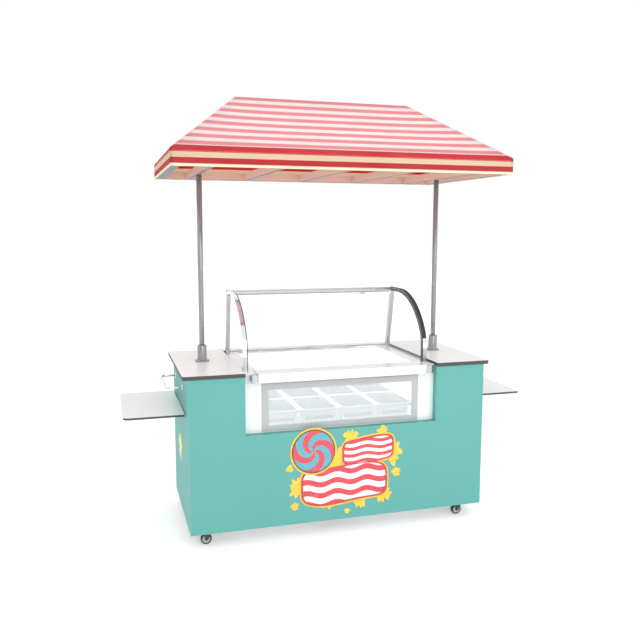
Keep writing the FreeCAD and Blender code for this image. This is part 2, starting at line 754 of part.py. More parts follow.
def control_panel():
    """The plate behind the temperature knob and the power switch."""
    y0, y1 = PLATE_Y
    plate = box(-130.0, 130.0, y0, y1, CONTROL_Z - 45, CONTROL_Z + 45)
    knob_hole = rod(SPINDLE + RUNNING_GAP, (KNOB_X, y0 - 1, CONTROL_Z), (KNOB_X, y1 + 1, CONTROL_Z))
    slot = box(SWITCH_X - 14, SWITCH_X + 14, y0 - 1, y1 + 1, CONTROL_Z - 19, CONTROL_Z + 19)
    return plate.cut(knob_hole).cut(slot)


def thermostat_knob():
    """A fluted knob with a pointer rib, on its spindle."""
    y = PLATE_Y[1]
    skirt = rod(20.0, (KNOB_X, y + 0.5, CONTROL_Z), (KNOB_X, y + 5, CONTROL_Z))
    grip = rod(15.0, (KNOB_X, y + 5, CONTROL_Z), (KNOB_X, y + 20, CONTROL_Z))
    rib = box(KNOB_X - 2, KNOB_X + 2, y + 5, y + 21, CONTROL_Z, CONTROL_Z + 18)
    spindle = rod(SPINDLE, (KNOB_X, y - 18, CONTROL_Z), (KNOB_X, y + 1, CONTROL_Z))
    return skirt.fuse([grip, rib, spindle]).removeSplitter()


ROCKER_Y = BODY_BACK - 2.0
ROCKER_HALF = 12.5
ROCKER_PIN = 2.0


def power_switch():
    """A rocker, at rest with its lower half pressed in."""
    outline = [
        (ROCKER_Y - 5, CONTROL_Z - 13), (ROCKER_Y + 6, CONTROL_Z - 15), (ROCKER_Y + 8, CONTROL_Z),
        (ROCKER_Y + 11, CONTROL_Z + 14), (ROCKER_Y - 5, CONTROL_Z + 13),
    ]
    body = prism_x(outline, SWITCH_X - ROCKER_HALF, SWITCH_X + ROCKER_HALF)
    reach = ROCKER_HALF + 1.0
    pin = rod(ROCKER_PIN, (SWITCH_X - reach, ROCKER_Y, CONTROL_Z), (SWITCH_X + reach, ROCKER_Y, CONTROL_Z))
    return body.fuse(pin).removeSplitter()


def power_inlet():
    """A recessed three-pin appliance inlet."""
    y = BODY_BACK
    flange = box(INLET_X - 24, INLET_X + 24, y, y + 3, INLET_Z - 18, INLET_Z + 18)
    shell = box(INLET_X - 15, INLET_X + 15, y - 22, y + 1, INLET_Z - 12, INLET_Z + 12)
    well = box(INLET_X - 12, INLET_X + 12, y - 18, y + 4, INLET_Z - 8, INLET_Z + 8)
    body = flange.fuse(shell).cut(well)
    pins = []
    for dx, dz in ((-7.0, -2.0), (0.0, 2.0), (7.0, -2.0)):
        x, z = INLET_X + dx, INLET_Z + dz
        pins.append(box(x - 1, x + 1, y - 19, y - 4, z - 2, z + 2))
    return body.fuse(pins).removeSplitter()


def service_grille():
    """The louvred cover over the condenser."""
    y0, y1 = PLATE_Y
    margin = 18.0
    plate = box(-GRILLE_HALF - margin, GRILLE_HALF + margin, y0, y1, GRILLE_Z0 - margin, GRILLE_Z1 + margin)
    slots = []
    count = 11
    pitch = (GRILLE_Z1 - GRILLE_Z0) / count
    for index in range(count):
        z = GRILLE_Z0 + pitch * (index + 0.5)
        for x0, x1 in ((-GRILLE_HALF + 10, -8.0), (8.0, GRILLE_HALF - 10)):
            slots.append(box(x0, x1, y0 - 1, y1 + 1, z - 6, z + 6))
    return plate.cut(Part.makeCompound(slots))


# ---- cupboard doors ----
HINGE_X = 860.0
HINGE_Y = BODY_BACK + 4.5
HINGE_RADIUS = 4.0
HINGE_LEAF = 1.5
HINGE_KNUCKLE = 30.0
HINGE_LIFTS = (220.0, 800.0)


def hinge_half(z, x_far):
    """One hinge knuckle with its leaf, on the right-hand cupboard."""
    knuckle = rod(HINGE_RADIUS, (HINGE_X, HINGE_Y, z), (HINGE_X, HINGE_Y, z + HINGE_KNUCKLE))
    x0, x1 = sorted((HINGE_X, x_far))
    leaf = box(x0, x1, BODY_BACK, BODY_BACK + HINGE_LEAF, z, z + HINGE_KNUCKLE)
    return knuckle.fuse(leaf).removeSplitter()


def cupboard_hinges():
    """The fixed halves of the cupboard hinges."""
    halves = []
    for z in HINGE_LIFTS:
        halves += both_sides(hinge_half(z, HINGE_X + 26))
    return halves


def cupboard_door():
    """The right-hand door: panel, moving hinge halves and bow pull."""
    skin = DOOR_SKIN
    outer = box(DOOR_X0, DOOR_X1, DOOR_FRONT, BODY_BACK, DOOR_Z0, DOOR_Z1)
    hollow = box(
        DOOR_X0 + skin, DOOR_X1 - skin, DOOR_FRONT - 1, BODY_BACK - skin, DOOR_Z0 + skin, DOOR_Z1 - skin,
    )
    panel = outer.cut(hollow)
    solids = [panel]
    for z in HINGE_LIFTS:
        solids.append(hinge_half(z + HINGE_KNUCKLE + 1, HINGE_X - 26))
    x = DOOR_X0 + 34.0
    z0, z1 = DOOR_GRIP_Z
    grip_y = BODY_BACK + DOOR_GRIP_PROUD
    grip = rod(6.0, (x, grip_y, z0), (x, grip_y, z1))
    stems = [rod(5.0, (x, BODY_BACK, z), (x, grip_y, z)) for z in (z0 + 15, z1 - 15)]
    solids.append(grip.fuse(stems).removeSplitter())
    return solids


# ---- fold-down shelves, drawn for the right side (+X) ----
BRACKET_SPREAD = 220.0
BRACKET_PLATE = 5.0
ARM_HALF = 5.0
ARM_REACH = 1160.0
PIN_RADIUS = 4.0
EAR = 6.0
EAR_RADIUS = 9.0
BRACKET_HALF = 18.0


def bracket_places():
    """The y positions of the two brackets of a shelf."""
    return (SHELF_MIDDLE - BRACKET_SPREAD, SHELF_MIDDLE + BRACKET_SPREAD)


def shelf_bracket(y):
    """A low wall plate with two round-ended ears and the pin of the arm."""
    x, z = SHELF_PIVOT_X, SHELF_PIVOT_Z
    plate_x1 = BODY_HALF + BRACKET_PLATE
    plate = box(BODY_HALF, plate_x1, y - BRACKET_HALF, y + BRACKET_HALF, z - EAR_RADIUS, z + EAR_RADIUS)
    ears = []
    for y0 in (y - 2 * EAR, y + EAR):
        ears.append(box(BODY_HALF, x, y0, y0 + EAR, z - EAR_RADIUS, z + EAR_RADIUS))
        ears.append(rod(EAR_RADIUS, (x, y0, z), (x, y0 + EAR, z)))
    pin = rod(PIN_RADIUS, (x, y - 2 * EAR, z), (x, y + 2 * EAR, z))
    return plate.fuse(ears + [pin]).removeSplitter()


def shelf_board():
    """The laminate board, its outer corners rounded."""
    board = box(SHELF_INNER, SHELF_OUTER, SHELF_FRONT, SHELF_BACK, SHELF_BOTTOM, SHELF_TOP)
    return round_upright_edges(board, 30.0, lambda x, y: x > SHELF_PIVOT_X)


def shelf_arm(y):
    """The arm under the board, with its pivot bore."""
    z0 = SHELF_PIVOT_Z - 6
    bar = box(SHELF_PIVOT_X - 6, ARM_REACH, y - ARM_HALF, y + ARM_HALF, z0, SHELF_BOTTOM)
    bore = rod(
        PIN_RADIUS + RUNNING_GAP, (SHELF_PIVOT_X, y - 6, SHELF_PIVOT_Z), (SHELF_PIVOT_X, y + 6, SHELF_PIVOT_Z),
    )
    return bar.cut(bore)


# ---- push handle, on the left end ----
def push_handle():
    """The bent tube with its two wall flanges."""
    bend = HANDLE_BEND
    wall = -BODY_HALF
    grip_x = -HANDLE_REACH + HANDLE_RADIUS
    y0 = HANDLE_FRONT + HANDLE_RADIUS
    y1 = HANDLE_BACK - HANDLE_RADIUS
    z = HANDLE_Z
    half = bend * (1 - math.sqrt(0.5))
    points = [
        Vector(wall, y0, z), Vector(grip_x + bend, y0, z), Vector(grip_x + half, y0 + half, z),
        Vector(grip_x, y0 + bend, z), Vector(grip_x, y1 - bend, z), Vector(grip_x + half, y1 - half, z),
        Vector(grip_x + bend, y1, z), Vector(wall, y1, z),
    ]
    path = Part.Wire([
        Part.makeLine(points[0], points[1]),
        Part.Arc(points[1], points[2], points[3]).toShape(),
        Part.makeLine(points[3], points[4]),
        Part.Arc(points[4], points[5], points[6]).toShape(),
        Part.makeLine(points[6], points[7]),
    ])
    ring = Part.Wire(Part.Circle(points[0], Vector(-1, 0, 0), HANDLE_RADIUS).toShape())
    rail = path.makePipeShell([ring], True, False)
    flanges = [rod(HANDLE_FLANGE, (wall, y, z), (wall - 5, y, z)) for y in (y0, y1)]
    return rail.fuse(flanges).removeSplitter()


# ---- casters ----
CASTER_NAMES = {
    "front_left": (-CASTER_HALF_X, CASTER_FRONT_Y),
    "front_right": (CASTER_HALF_X, CASTER_FRONT_Y),
    "rear_left": (-CASTER_HALF_X, CASTER_BACK_Y),
    "rear_right": (CASTER_HALF_X, CASTER_BACK_Y),
}
KINGPIN = 5.0
CASTER_PLATE = 3.0
CASTER_PLATE_HALF_X = 27.0
CASTER_PLATE_HALF_Y = 30.0
RACE_RADIUS = 19.0
CROWN_RADIUS = 22.0
CROWN_TOP = 76.0
CROWN_BOTTOM = 66.0
FORK_INNER = 13.5
FORK_OUTER = 16.5
AXLE_RADIUS = 4.0
WHEEL_HALF = 12.0


def caster_plate(x, y):
    """The mounting plate, the fixed race and the kingpin."""
    z1 = CASTER_HEIGHT
    half_x, half_y = CASTER_PLATE_HALF_X, CASTER_PLATE_HALF_Y
    plate = box(x - half_x, x + half_x, y - half_y, y + half_y, z1 - CASTER_PLATE, z1)
    race = rod(RACE_RADIUS, (x, y, CROWN_TOP + 0.5), (x, y, z1 - 1))
    kingpin = rod(KINGPIN, (x, y, CROWN_BOTTOM), (x, y, z1 - 1))
    return plate.fuse([race, kingpin]).removeSplitter()


def caster_fork(x, y):
    """The swivelling fork with its axle, trailing towards -X."""
    wheel_x = x - CASTER_TRAIL
    crown = rod(CROWN_RADIUS, (x, y, CROWN_BOTTOM), (x, y, CROWN_TOP))
    bridge = box(x - CROWN_RADIUS, x + 8, y - FORK_OUTER, y + FORK_OUTER, CROWN_BOTTOM, CROWN_TOP - 2)
    pieces = [bridge]
    axle_z = CASTER_WHEEL_RADIUS
    for inner, outer in ((-FORK_OUTER, -FORK_INNER), (FORK_INNER, FORK_OUTER)):
        corners = [
            (x - 24, CROWN_BOTTOM + 3), (x + 14, CROWN_BOTTOM + 3),
            (wheel_x + 9, axle_z - 4), (wheel_x, axle_z - 9), (wheel_x - 9, axle_z - 4),
        ]
        points = [Vector(px, y + inner, pz) for px, pz in corners]
        cheek = Part.Face(Part.makePolygon(points + points[:1])).extrude(Vector(0, outer - inner, 0))
        pieces.append(cheek)
    pieces.append(rod(AXLE_RADIUS, (wheel_x, y - FORK_OUTER - 2, axle_z), (wheel_x, y + FORK_OUTER + 2, axle_z)))
    bore = rod(KINGPIN + RUNNING_GAP, (x, y, CROWN_BOTTOM - 1), (x, y, CROWN_TOP + 1))
    return crown.fuse(pieces).cut(bore).removeSplitter()


def caster_wheel(x, y):
    """The wheel, dished on both faces, with its bore."""
    wheel_x = x - CASTER_TRAIL
    axle_z = CASTER_WHEEL_RADIUS
    radius = CASTER_WHEEL_RADIUS
    outline = [
        (AXLE_RADIUS + RUNNING_GAP, -WHEEL_HALF), (9.0, -WHEEL_HALF), (11.0, -WHEEL_HALF + 4),
        (22.0, -WHEEL_HALF + 4), (24.0, -WHEEL_HALF), (radius - 4, -WHEEL_HALF),
        (radius, -WHEEL_HALF + 5), (radius, WHEEL_HALF - 5), (radius - 4, WHEEL_HALF),
        (24.0, WHEEL_HALF), (22.0, WHEEL_HALF - 4), (11.0, WHEEL_HALF - 4),
        (9.0, WHEEL_HALF), (AXLE_RADIUS + RUNNING_GAP, WHEEL_HALF),
    ]
    points = [Vector(wheel_x + r, y + along, axle_z) for r, along in outline]
    face = Part.Face(Part.makePolygon(points + points[:1]))
    return face.revolve(Vector(wheel_x, y, axle_z), Vector(0, 1, 0), 360)


# ---- poles and canopy ----
SOCKET_FLANGE = 8.0
RAIL_WIDTH = 50.0
RAIL_Z = (CANOPY_BOTTOM + 3.0, CANOPY_BOTTOM + 47.0)
RAIL_OUT_X = CANOPY_HALF_X - VALANCE
RAIL_OUT_Y = CANOPY_HALF_Y - VALANCE
RAIL_IN_Y = RAIL_OUT_Y - RAIL_WIDTH
RIB_HALF = 15.0
RIB_COUNT = 5
RIDGE_Z = (CANOPY_RIDGE - 50, CANOPY_RIDGE - 22)
KING_POST_HALF = 12.0
RIDGE_BEAM_HALF = 14.0
RAFTER = 20.0
RAFTER_FOOT = (925.0, 505.0, RAIL_Z[1] + 16)
RAFTER_HEAD = (RIDGE_HALF - 2, 26.0, RIDGE_Z[1] - 26)


def pole_sockets():
    """The flanged sleeves that hold the poles on the worktops."""
    z0 = COUNTER_TOP
    z1 = z0 + SOCKET_FLANGE
    flange = rod(FLANGE_RADIUS, (POLE_X, 0, z0), (POLE_X, 0, z1))
    sleeve = rod(SLEEVE_RADIUS, (POLE_X, 0, z1), (POLE_X, 0, z1 + SLEEVE_HEIGHT))
    bore = rod(POLE_RADIUS + 0.3, (POLE_X, 0, z1), (POLE_X, 0, z1 + SLEEVE_HEIGHT + 1))
    socket = flange.fuse(sleeve).cut(bore).removeSplitter()
    holes = screw_holes(z0 - 1, z1 + 1)
    return [piece.cut(holes) for piece in both_sides(socket)]


def socket_screws():
    """Pan-head screws through the socket flanges into the worktops."""
    z1 = COUNTER_TOP + SOCKET_FLANGE
    screws = []
    for x, y in screw_places():
        head = rod(5.0, (x, y, z1), (x, y, z1 + 2.5))
        shank = rod(SCREW_SHANK, (x, y, z1 - 24), (x, y, z1 + 1))
        screws.append(head.fuse(shank).removeSplitter())
    return screws


def canopy_poles():
    """The two poles, each with a top plate under its rib."""
    z0 = COUNTER_TOP + SOCKET_FLANGE
    z1 = RAIL_Z[0]
    pole = rod(POLE_RADIUS, (POLE_X, 0, z0), (POLE_X, 0, z1 - 1))
    bore = rod(POLE_RADIUS - TUBE_WALL, (POLE_X, 0, z0 - 1), (POLE_X, 0, z1 - 4))
    top_plate = box(POLE_X - 15, POLE_X + 15, -45, 45, z1 - 4, z1)
    return both_sides(pole.cut(bore).fuse(top_plate).removeSplitter())


def canopy_rails():
    """The four rails of the canopy's rim."""
    z0, z1 = RAIL_Z
    x1, y1 = RAIL_OUT_X, RAIL_OUT_Y
    rails = [
        tube(-x1, x1, -y1, -RAIL_IN_Y, z0, z1, TUBE_WALL),
        tube(-x1, x1, RAIL_IN_Y, y1, z0, z1, TUBE_WALL),
    ]
    ends = tube(x1 - RAIL_WIDTH, x1, -RAIL_IN_Y, RAIL_IN_Y, z0, z1, TUBE_WALL)
    return rails + both_sides(ends)


def canopy_ribs():
    """The cross ribs, and the king posts, ridge and hip rafters on them."""
    z0, z1 = RAIL_Z
    pitch = 2 * POLE_X / (RIB_COUNT - 1)
    solids = []
    post = KING_POST_HALF
    beam = RIDGE_BEAM_HALF
    ridge_x = RIDGE_HALF - post
    for index in range(RIB_COUNT):
        x = -POLE_X + pitch * index
        solids.append(tube(x - RIB_HALF, x + RIB_HALF, -RAIL_IN_Y, RAIL_IN_Y, z0, z1, TUBE_WALL))
        if abs(x) < RIDGE_HALF:
            solids.append(tube(x - post, x + post, -post, post, z1, RIDGE_Z[0], TUBE_WALL))
    solids.append(tube(-ridge_x, ridge_x, -beam, beam, RIDGE_Z[0], RIDGE_Z[1], TUBE_WALL))
    for sx in (-1, 1):
        for sy in (-1, 1):
            low = (sx * RAFTER_FOOT[0], sy * RAFTER_FOOT[1], RAFTER_FOOT[2])
            high = (sx * RAFTER_HEAD[0], sy * RAFTER_HEAD[1], RAFTER_HEAD[2])
            solids.append(bar_between(low, high, RAFTER, RAFTER))
    return solids


def canopy_roof():
    """The cloth cover as four mitred slopes of even thickness."""
    rise = CANOPY_RIDGE - CANOPY_EAVE
    run_y = CANOPY_HALF_Y
    run_x = CANOPY_HALF_X - RIDGE_HALF
    thick_z = CLOTH * math.hypot(rise, run_y) / run_y
    in_y = thick_z * run_y / rise
    in_x = thick_z * run_x / rise
    eave = CANOPY_EAVE
    ridge_out = [Vector(-RIDGE_HALF, 0, CANOPY_RIDGE), Vector(RIDGE_HALF, 0, CANOPY_RIDGE)]
    ridge_in = [point - Vector(0, 0, thick_z) for point in ridge_out]
    outer = {}
    inner = {}
    for sx in (-1, 1):
        for sy in (-1, 1):
            outer[sx, sy] = Vector(sx * CANOPY_HALF_X, sy * CANOPY_HALF_Y, eave)
            inner[sx, sy] = Vector(sx * (CANOPY_HALF_X - in_x), sy * (CANOPY_HALF_Y - in_y), eave)
    slopes = []
    for sy in (-1, 1):
        top = [outer[-1, sy], outer[1, sy], ridge_out[1], ridge_out[0]]
        under = [inner[-1, sy], inner[1, sy], ridge_in[1], ridge_in[0]]
        slopes.append(slab_between(top, under))
    for sx in (-1, 1):
        end = 0 if sx < 0 else 1
        top = [outer[sx, -1], outer[sx, 1], ridge_out[end]]
        under = [inner[sx, -1], inner[sx, 1], ridge_in[end]]
        slopes.append(slab_between(top, under))
    return slopes


def slab_between(top, under):
    """A closed solid between two polygons with matching corners."""
    count = len(top)
    faces = [Part.Face(Part.makePolygon(ring + ring[:1])) for ring in (top, under)]
    for index in range(count):
        after = (index + 1) % count
        side = [top[index], top[after], under[after], under[index]]
        faces.append(Part.Face(Part.makePolygon(side + side[:1])))
    solid = Part.Solid(Part.Shell(faces))
    if solid.Volume < 0:
        solid.reverse()
    return solid


def canopy_valance():
    """The four upright strips of the cover, mitred at the corners."""
    z0, z1 = CANOPY_BOTTOM, CANOPY_EAVE
    x1, y1 = CANOPY_HALF_X, CANOPY_HALF_Y
    long_strips = [
        box(-x1, x1, -y1, -y1 + VALANCE, z0, z1),
        box(-x1, x1, y1 - VALANCE, y1, z0, z1),
    ]
    ends = both_sides(box(x1 - VALANCE, x1, -y1 + VALANCE, y1 - VALANCE, z0, z1))
    return long_strips + ends


def main():
    """Build every sub-part and write it out."""
    os.makedirs("parts", exist_ok=True)
    save("base_frame", base_frame())
    save("floor_panel", box(-INNER_HALF, INNER_HALF, INNER_FRONT, INNER_BACK, BASE_TOP, FLOOR_TOP))
    save("body_frame", body_frame())
    save("front_panel", front_panel())
    save("side_panels", side_panels())
    save("rear_face_frame", rear_face_frame())
    save("partitions", partitions())
    save("countertops", countertops())
    save("display_fascia", display_fascia())
    save("window_frame", window_frame())
    save("window_glass", window_glass())
    save("display_tank", display_tank())
    save("pan_rack", pan_rack())
    save("pans", pans())
    save("display_deck", display_deck())
    save("front_rail", front_rail())
    save("front_ledge", front_ledge())
    save("led_strip", led_strip())
    save("guard_end_frames", guard_end_frames())
    save("guard_gaskets", guard_gaskets())
    save("guard_front_glass", guard_front_glass())
    save("guard_end_glass", guard_end_glass())
    save("guard_top_bar", guard_top_bar())
    save("guard_posts", guard_posts())
    save("guard_tracks", guard_tracks())
    left_door = sliding_door(-SLIDER_OUTER, SLIDER_LAP, PULL_INSET - SLIDER_OUTER, SLIDER_LEFT_W)
    right_door = sliding_door(-SLIDER_LAP, SLIDER_OUTER, SLIDER_OUTER - PULL_INSET, SLIDER_RIGHT_W)
    save("sliding_door_left", left_door)
    save("sliding_door_right", right_door)
    save("compressor", compressor())
    save("condenser", condenser())
    save("condenser_fan", condenser_fan())
    save("control_panel", control_panel())
    save("thermostat_knob", thermostat_knob())
    save("power_switch", power_switch())
    save("power_inlet", power_inlet())
    save("service_grille", service_grille())
    save("cupboard_hinges", cupboard_hinges())
    right_cupboard = cupboard_door()
    save("cupboard_door_right", right_cupboard)
    save("cupboard_door_left", [mirrored(solid) for solid in right_cupboard])
    places = bracket_places()
    brackets = [shelf_bracket(y) for y in places]
    save("shelf_brackets", brackets + [mirrored(solid) for solid in brackets])
    shelf = [shelf_board()] + [shelf_arm(y) for y in places]
    save("shelf_right", shelf)
    save("shelf_left", [mirrored(solid) for solid in shelf])
    save("push_handle", push_handle())
    save("caster_plates", [caster_plate(x, y) for x, y in CASTER_NAMES.values()])
    for name, (x, y) in CASTER_NAMES.items():
        save("caster_fork_" + name, caster_fork(x, y))
        save("caster_wheel_" + name, caster_wheel(x, y))
    save("pole_sockets", pole_sockets())
    save("socket_screws", socket_screws())
    save("canopy_poles", canopy_poles())
    save("canopy_rails", canopy_rails())
    save("canopy_ribs", canopy_ribs())
    save("canopy_roof", canopy_roof())
    save("canopy_valance", canopy_valance())


main()
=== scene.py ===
import json
import logging
import math
from dataclasses import dataclass
from enum import Enum

import bmesh
import bpy
import numpy as np
from mathutils import Matrix, Vector


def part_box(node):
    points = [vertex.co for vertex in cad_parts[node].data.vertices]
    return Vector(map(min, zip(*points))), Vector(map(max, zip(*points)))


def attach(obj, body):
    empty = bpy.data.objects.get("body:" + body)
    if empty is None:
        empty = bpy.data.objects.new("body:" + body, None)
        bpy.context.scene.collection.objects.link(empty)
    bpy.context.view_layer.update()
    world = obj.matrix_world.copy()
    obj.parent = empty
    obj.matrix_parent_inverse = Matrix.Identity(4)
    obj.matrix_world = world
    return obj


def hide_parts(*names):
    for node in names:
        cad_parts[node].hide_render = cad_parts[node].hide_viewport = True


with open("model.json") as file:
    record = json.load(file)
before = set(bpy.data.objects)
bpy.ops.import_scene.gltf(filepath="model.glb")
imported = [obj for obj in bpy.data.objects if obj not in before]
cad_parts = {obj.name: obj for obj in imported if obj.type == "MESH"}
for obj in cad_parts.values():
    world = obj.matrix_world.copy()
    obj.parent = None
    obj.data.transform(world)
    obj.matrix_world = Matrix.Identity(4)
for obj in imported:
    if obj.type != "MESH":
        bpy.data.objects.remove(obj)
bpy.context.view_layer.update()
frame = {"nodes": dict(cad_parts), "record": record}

LOG = logging.getLogger("cart")
Colour = tuple[float, float, float]
TURN = 2.0 * math.pi
SHARP = math.radians(35)
LEVEL = 0.5
MERGE = 1e-6
FLAT = math.radians(0.4)


class Side(Enum):
    """The two ends of the cart, as the sign of X."""

    LEFT = -1
    RIGHT = 1


class Grain(Enum):
    """The way a brushed finish runs, as how much its scratches are squeezed on each axis."""

    ALONG_X = (0.02, 1.0, 1.0)
    ALONG_Z = (1.0, 1.0, 0.02)
    EVEN = (1.0, 1.0, 1.0)


class Faces(Enum):
    """Which faces of a dressed CAD node wear its second finish."""

    EDGES = "the rounded ones"
    SIDES = "upright ones"
    # On the canopy frame, the faces that look down wear a dark grey that is painted shade.
    UNDER = "those that look down"


class Wall(Enum):
    """The side of the body that a piece of vinyl is on, as the CAD node that it lies against."""

    FRONT = "front_panel"
    LEFT = "side_panels"


class Edge(Enum):
    """How wide a rounded edge is, in metres."""

    HAIR = 0.0004
    THIN = 0.0005
    FINE = 0.0006
    PLAIN = 0.0008
    SOFT = 0.0010
    ROUND = 0.0012
    BAR = 0.0015
    DIFFUSER = 0.0020
    LEDGE = 0.0022
    LINER = 0.0030


# ---- finishes ----
class Recipe:
    """A node material being written, with short ways to add and join its nodes."""

    def __init__(self, name: str) -> None:
        """Start a material that has only its main shader."""
        self.material = bpy.data.materials.new(name)
        self.material.use_nodes = True
        self.nodes = self.material.node_tree.nodes
        self.links = self.material.node_tree.links
        self.shader = self.nodes["Principled BSDF"]

    def fill(self, node: bpy.types.Node, inputs: dict) -> None:
        """Give a node's sockets their numbers, colours or links.

        Args:
            node: the node to fill.
            inputs: socket name or index, to a value or to another node's output socket.
        """
        for key, value in inputs.items():
            if isinstance(value, bpy.types.NodeSocket):
                self.links.new(value, node.inputs[key])
            elif isinstance(value, tuple) and len(value) == 3 and node.inputs[key].type == "RGBA":
                node.inputs[key].default_value = (*value, 1.0)
            else:
                node.inputs[key].default_value = value

    def add(self, kind: str, inputs: dict | None = None, **settings: object) -> bpy.types.Node:
        """Add a node.

        Args:
            kind: the node's type, without its ShaderNode prefix.
            inputs: what its sockets take.
            settings: what its own properties take.

        Returns:
            The new node.
        """
        node = self.nodes.new("ShaderNode" + kind)
        for key, value in settings.items():
            setattr(node, key, value)
        self.fill(node, inputs or {})
        return node

    def sum(self, operation: str, first: object, second: object = 0.0) -> bpy.types.NodeSocket:
        """The output of a Math node on two values."""
        return self.add("Math", {0: first, 1: second}, operation=operation).outputs[0]

    def mix(self, factor: object, first: object, second: object) -> bpy.types.NodeSocket:
        """The output of a colour mix: the first colour at 0, the second at 1."""
        inputs = {"Fac": factor, "Color1": first, "Color2": second}
        return self.add("MixRGB", inputs).outputs[0]

    def noise(self, vector: object, scale: float, detail: float = 2.0) -> bpy.types.NodeSocket:
        """The value of a noise texture."""
        inputs = {"Vector": vector, "Scale": scale, "Detail": detail}
        return self.add("TexNoise", inputs).outputs[0]

    def between(
        self, value: object, low: float, high: float, start: float, end: float,
    ) -> bpy.types.NodeSocket:
        """The value carried from one range to another, held at both ends."""
        inputs = {"Value": value, "From Min": low, "From Max": high, "To Min": start, "To Max": end}
        return self.add("MapRange", inputs).outputs[0]

    def place(self) -> bpy.types.NodeSocket:
        """The point on the object, in metres."""
        return self.add("TexCoord").outputs["Object"]

    def relief(self, height: object, strength: float, depth: float) -> None:
        """Raise the surface by a height pattern."""
        bump = self.add("Bump", {"Height": height, "Strength": strength, "Distance": depth})
        self.fill(self.shader, {"Normal": bump.outputs[0]})


@dataclass(frozen=True)
class HardFinish:
    """A hard surface: two close tones in soft patches, a fine grain, and a little streaky darkening low down.

    The tone is the mix of both colours by a broad noise and the grain is a fine noise, both on
    squeezed coordinates; the grain swings the roughness and raises the surface.  A streaky noise
    darkens the tone and fades out with height above the floor.
    """

    name: str
    colour: Colour
    shade: Colour
    roughness: float = 0.4
    swing: float = 0.06
    metallic: float = 0.0
    patch: float = 3.0
    grain: float = 380.0
    run: Grain = Grain.EVEN
    strength: float = 0.10
    depth: float = 0.0003
    coat: float = 0.0
    specular: float = 0.5
    low_darkening: float = 0.0
    alpha: float = 1.0
    glow: float = 0.0

    def make(self) -> bpy.types.Material:
        """Write the material, or find it if it is there already."""
        if self.name in bpy.data.materials:
            return bpy.data.materials[self.name]
        recipe = Recipe(self.name)
        place = recipe.place()
        squeezed = recipe.add("Mapping", {"Vector": place, "Scale": self.run.value}).outputs[0]
        tone = recipe.mix(recipe.noise(squeezed, self.patch, 3.0), self.colour, self.shade)
        if self.low_darkening:
            height = recipe.add("SeparateXYZ", {0: place}).outputs[2]
            low = recipe.between(height, 0.08, 0.26, 1.0, 0.0)
            streaks = recipe.between(recipe.noise(place, 21.0, 6.0), 0.42, 0.72, 0.0, self.low_darkening)
            low_tone = tuple(0.42 * part for part in self.shade)
            tone = recipe.mix(recipe.sum("MULTIPLY", low, streaks), tone, low_tone)
        fine = recipe.noise(squeezed, self.grain)
        rough = recipe.between(fine, 0.3, 0.7, self.roughness - self.swing, self.roughness + self.swing)
        recipe.fill(recipe.shader, {
            "Base Color": tone, "Roughness": rough, "Metallic": self.metallic, "Alpha": self.alpha,
            "Coat Weight": self.coat, "Specular IOR Level": self.specular,
        })
        if self.glow:
            recipe.fill(recipe.shader, {"Emission Color": self.colour, "Emission Strength": self.glow})
        recipe.relief(fine, self.strength, self.depth)
        return recipe.material


@dataclass(frozen=True)
class AwningCloth:
    """Striped woven cloth, coloured by how far it is down the slope.

    The stripe map's height runs 0 to 1 from ridge to eave and 1 to 2 down the valance.  The roof
    repeats one pale stripe pair; the valance is a stepped ramp of four bands, the first of which
    starts a little above the eave.  The weave is two
    crossed waves on the thread map, which is in metres.
    """

    name: str = "awning_cloth"
    pairs: int = 8
    pink: Colour = (0.93, 0.45, 0.48)
    white: Colour = (0.96, 0.93, 0.92)
    red: Colour = (0.76, 0.060, 0.075)
    cream: Colour = (0.91, 0.84, 0.64)
    steps: tuple[float, ...] = (0.0, 0.215, 0.52, 0.83)
    band_top: float = 0.955
    threads: float = 170.0
    sheen: float = 0.10
    translucency: float = 0.58

    def make(self) -> bpy.types.Material:
        """Write the material."""
        recipe = Recipe(self.name)
        across = recipe.add("UVMap", uv_map="Stripe").outputs[0]
        down = recipe.add("SeparateXYZ", {0: across}).outputs[1]
        phase = recipe.sum("FRACT", recipe.sum("MULTIPLY", down, float(self.pairs)))
        roof = recipe.mix(recipe.sum("GREATER_THAN", phase, 0.5), self.pink, self.white)
        ramp = recipe.add("ValToRGB", {0: recipe.sum("SUBTRACT", down, 1.0)})
        ramp.color_ramp.interpolation = "CONSTANT"
        stops = ramp.color_ramp.elements
        while len(stops) < len(self.steps):
            stops.new(0.5)
        for index, step in enumerate(self.steps):
            stops[index].position = step
            stops[index].color = (*(self.cream if index % 2 else self.red), 1.0)
        cloth = recipe.mix(recipe.sum("GREATER_THAN", down, self.band_top), roof, ramp.outputs[0])
        place = recipe.place()
        faded = recipe.between(recipe.noise(place, 5.0, 4.0), 0.3, 0.75, 0.0, 0.05)
        cloth = recipe.mix(faded, cloth, self.white)
        thread = recipe.add("UVMap", uv_map="Thread").outputs[0]
        waves = [
            recipe.add("TexWave", {"Vector": thread, "Scale": self.threads}, bands_direction=way).outputs[1]
            for way in ("X", "Y")
        ]
        recipe.relief(recipe.sum("MULTIPLY", waves[0], waves[1]), 0.35, 0.0004)
        recipe.fill(recipe.shader, {
            "Base Color": cloth, "Roughness": 0.82, "Sheen Weight": self.sheen,
        })
        glow = recipe.add("BsdfTranslucent", {"Color": cloth}).outputs[0]
        blend = recipe.add("MixShader", {0: self.translucency, 1: recipe.shader.outputs[0], 2: glow})
        recipe.links.new(blend.outputs[0], recipe.nodes["Material Output"].inputs[0])
        return recipe.material


